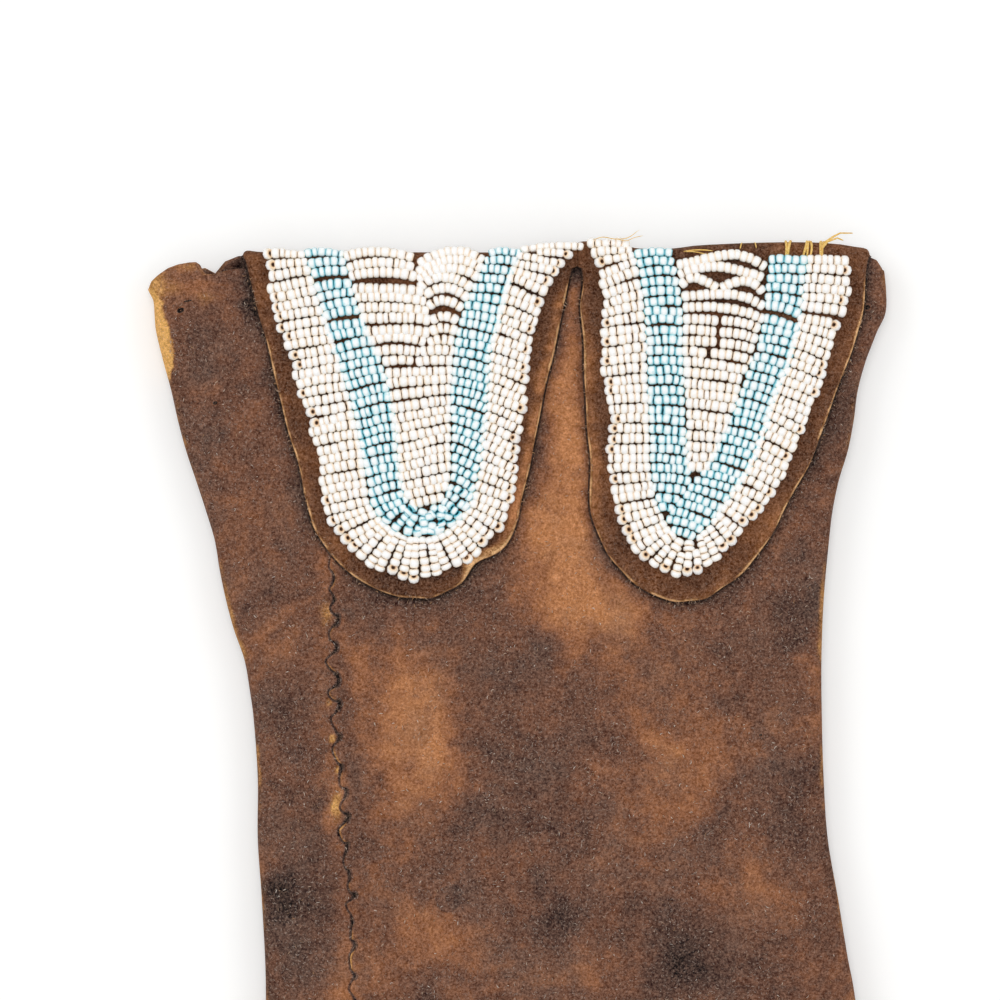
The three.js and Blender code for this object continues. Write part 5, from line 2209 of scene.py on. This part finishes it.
def main() -> None:
    """Builds the studio, the hides, the beadwork and the sinew in order."""
    logging.basicConfig(level=logging.INFO, format="%(name)s: %(message)s")
    scene = bpy.context.scene
    scene.view_settings.view_transform = "Standard"
    studio = Studio()
    studio.camera()
    studio.light()
    studio.floor()

    bag_suede = HideFinish("bag_suede").material()
    cuff_suede = HideFinish(
        "cuff_suede", umber=(0.096, 0.042, 0.023), brown=(0.150, 0.062, 0.030), rust=(0.245, 0.100, 0.042),
        rubbed=(0.840, 0.500, 0.240), dustiness=0.3, bloom_share=0.06,
    ).material()
    white = BeadFinish(
        "white_glass", pale=(0.988, 0.985, 0.98), usual=(0.982, 0.948, 0.87), strong=(0.968, 0.885, 0.74),
        end=(0.89, 0.58, 0.30), hole=(0.13, 0.065, 0.04), highlight_share=2.6,
    ).material()
    blue = BeadFinish(
        "blue_glass", pale=(0.955, 0.988, 0.985), usual=(0.48, 0.85, 0.885), strong=(0.22, 0.71, 0.79),
        end=(0.03, 0.42, 0.54), hole=(0.01, 0.05, 0.07), highlight_share=3.0, end_share=1.7,
    ).material()
    sinew = SinewFinish("split_sinew").material()
    # Painted shade: the seam's stitches are nearly black, as dark as the painted shadow along the seam's edge.
    shaded_seam_sinew = SinewFinish(
        "shaded_seam_sinew", brown=(0.02, 0.011, 0.006), yellow=(0.06, 0.033, 0.016), pale=(0.17, 0.10, 0.055)
    ).material()

    bag = BagHide()
    cuff = CuffHide()
    below_fold = slice(cuff.hem_points, -cuff.hem_points, 2)
    flap_edges = [cuff.outline(flap)[0][below_fold] for flap in FLAPS]
    bag.build(bag_suede, np.concatenate(flap_edges))
    cuff.build(cuff_suede)
    HideFuzz(bag, cuff).build(FuzzFinish("loose_fibres").material())
    lip = SeamLip(bag)
    lip.build(bag_suede)
    PunchedHoles(bag).build(bag_suede)

    lanes = (
        BeadLane("left_border_beads", Slot.WHITE, 11, cuff, (LEFT_BORDER,)),
        BeadLane(
            "left_blue_beads", Slot.BLUE, 12, cuff, (LEFT_BLUE, LEFT_BLUE_TOE), touch=0.505,
            jumbled=(-18.0, -57.0, 7.0, 0.5),
        ),
        BeadLane("left_centre_beads", Slot.WHITE, 13, cuff, LEFT_CENTRE),
        BeadLane("right_border_beads", Slot.WHITE, 14, cuff, (RIGHT_BORDER,)),
        BeadLane("right_blue_beads", Slot.BLUE, 15, cuff, RIGHT_BLUE, touch=0.505),
        BeadLane("right_centre_beads", Slot.WHITE, 16, cuff, RIGHT_CENTRE),
    )
    for lane in lanes:
        lane.build(white if lane.slot is Slot.WHITE else blue)

    work = SinewWork(bag, cuff)
    work.seam(lip, shaded_seam_sinew)
    work.bottom(sinew)
    none = np.zeros((0, 3, 3))
    tail = np.array([
        [[66.3, 3.0, 12.8], [68.5, 4.6, 12.9], [70.2, 5.5, 12.8], [73.0, 5.5, 12.5]],
        [[66.2, 2.2, 12.9], [67.4, 3.6, 13.0], [69.6, 4.4, 12.9], [70.9, 3.9, 12.6]],
    ])
    work.fold_threads(sinew)
    work.over_fold("cuff_stitch_1", 58.3, 0.5, ((-0.35, 0.32), (0.4, 0.36)), none, sinew)
    work.over_fold("cuff_stitch_2", 62.5, 1.0, ((-0.5, 0.32), (0.15, 0.28), (0.7, 0.28)), none, sinew)
    work.over_fold("cuff_stitch_3", 65.9, 0.6, ((-0.2, 0.36), (0.3, 0.28)), tail, sinew)


if __name__ == "__main__":
    main()
    with open(SIZE_FILE, "w", encoding="utf-8") as size_file:
        json.dump({"cad": [list(c) for c in CAD_BOX], "visual": [list(c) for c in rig.bounds()]}, size_file)
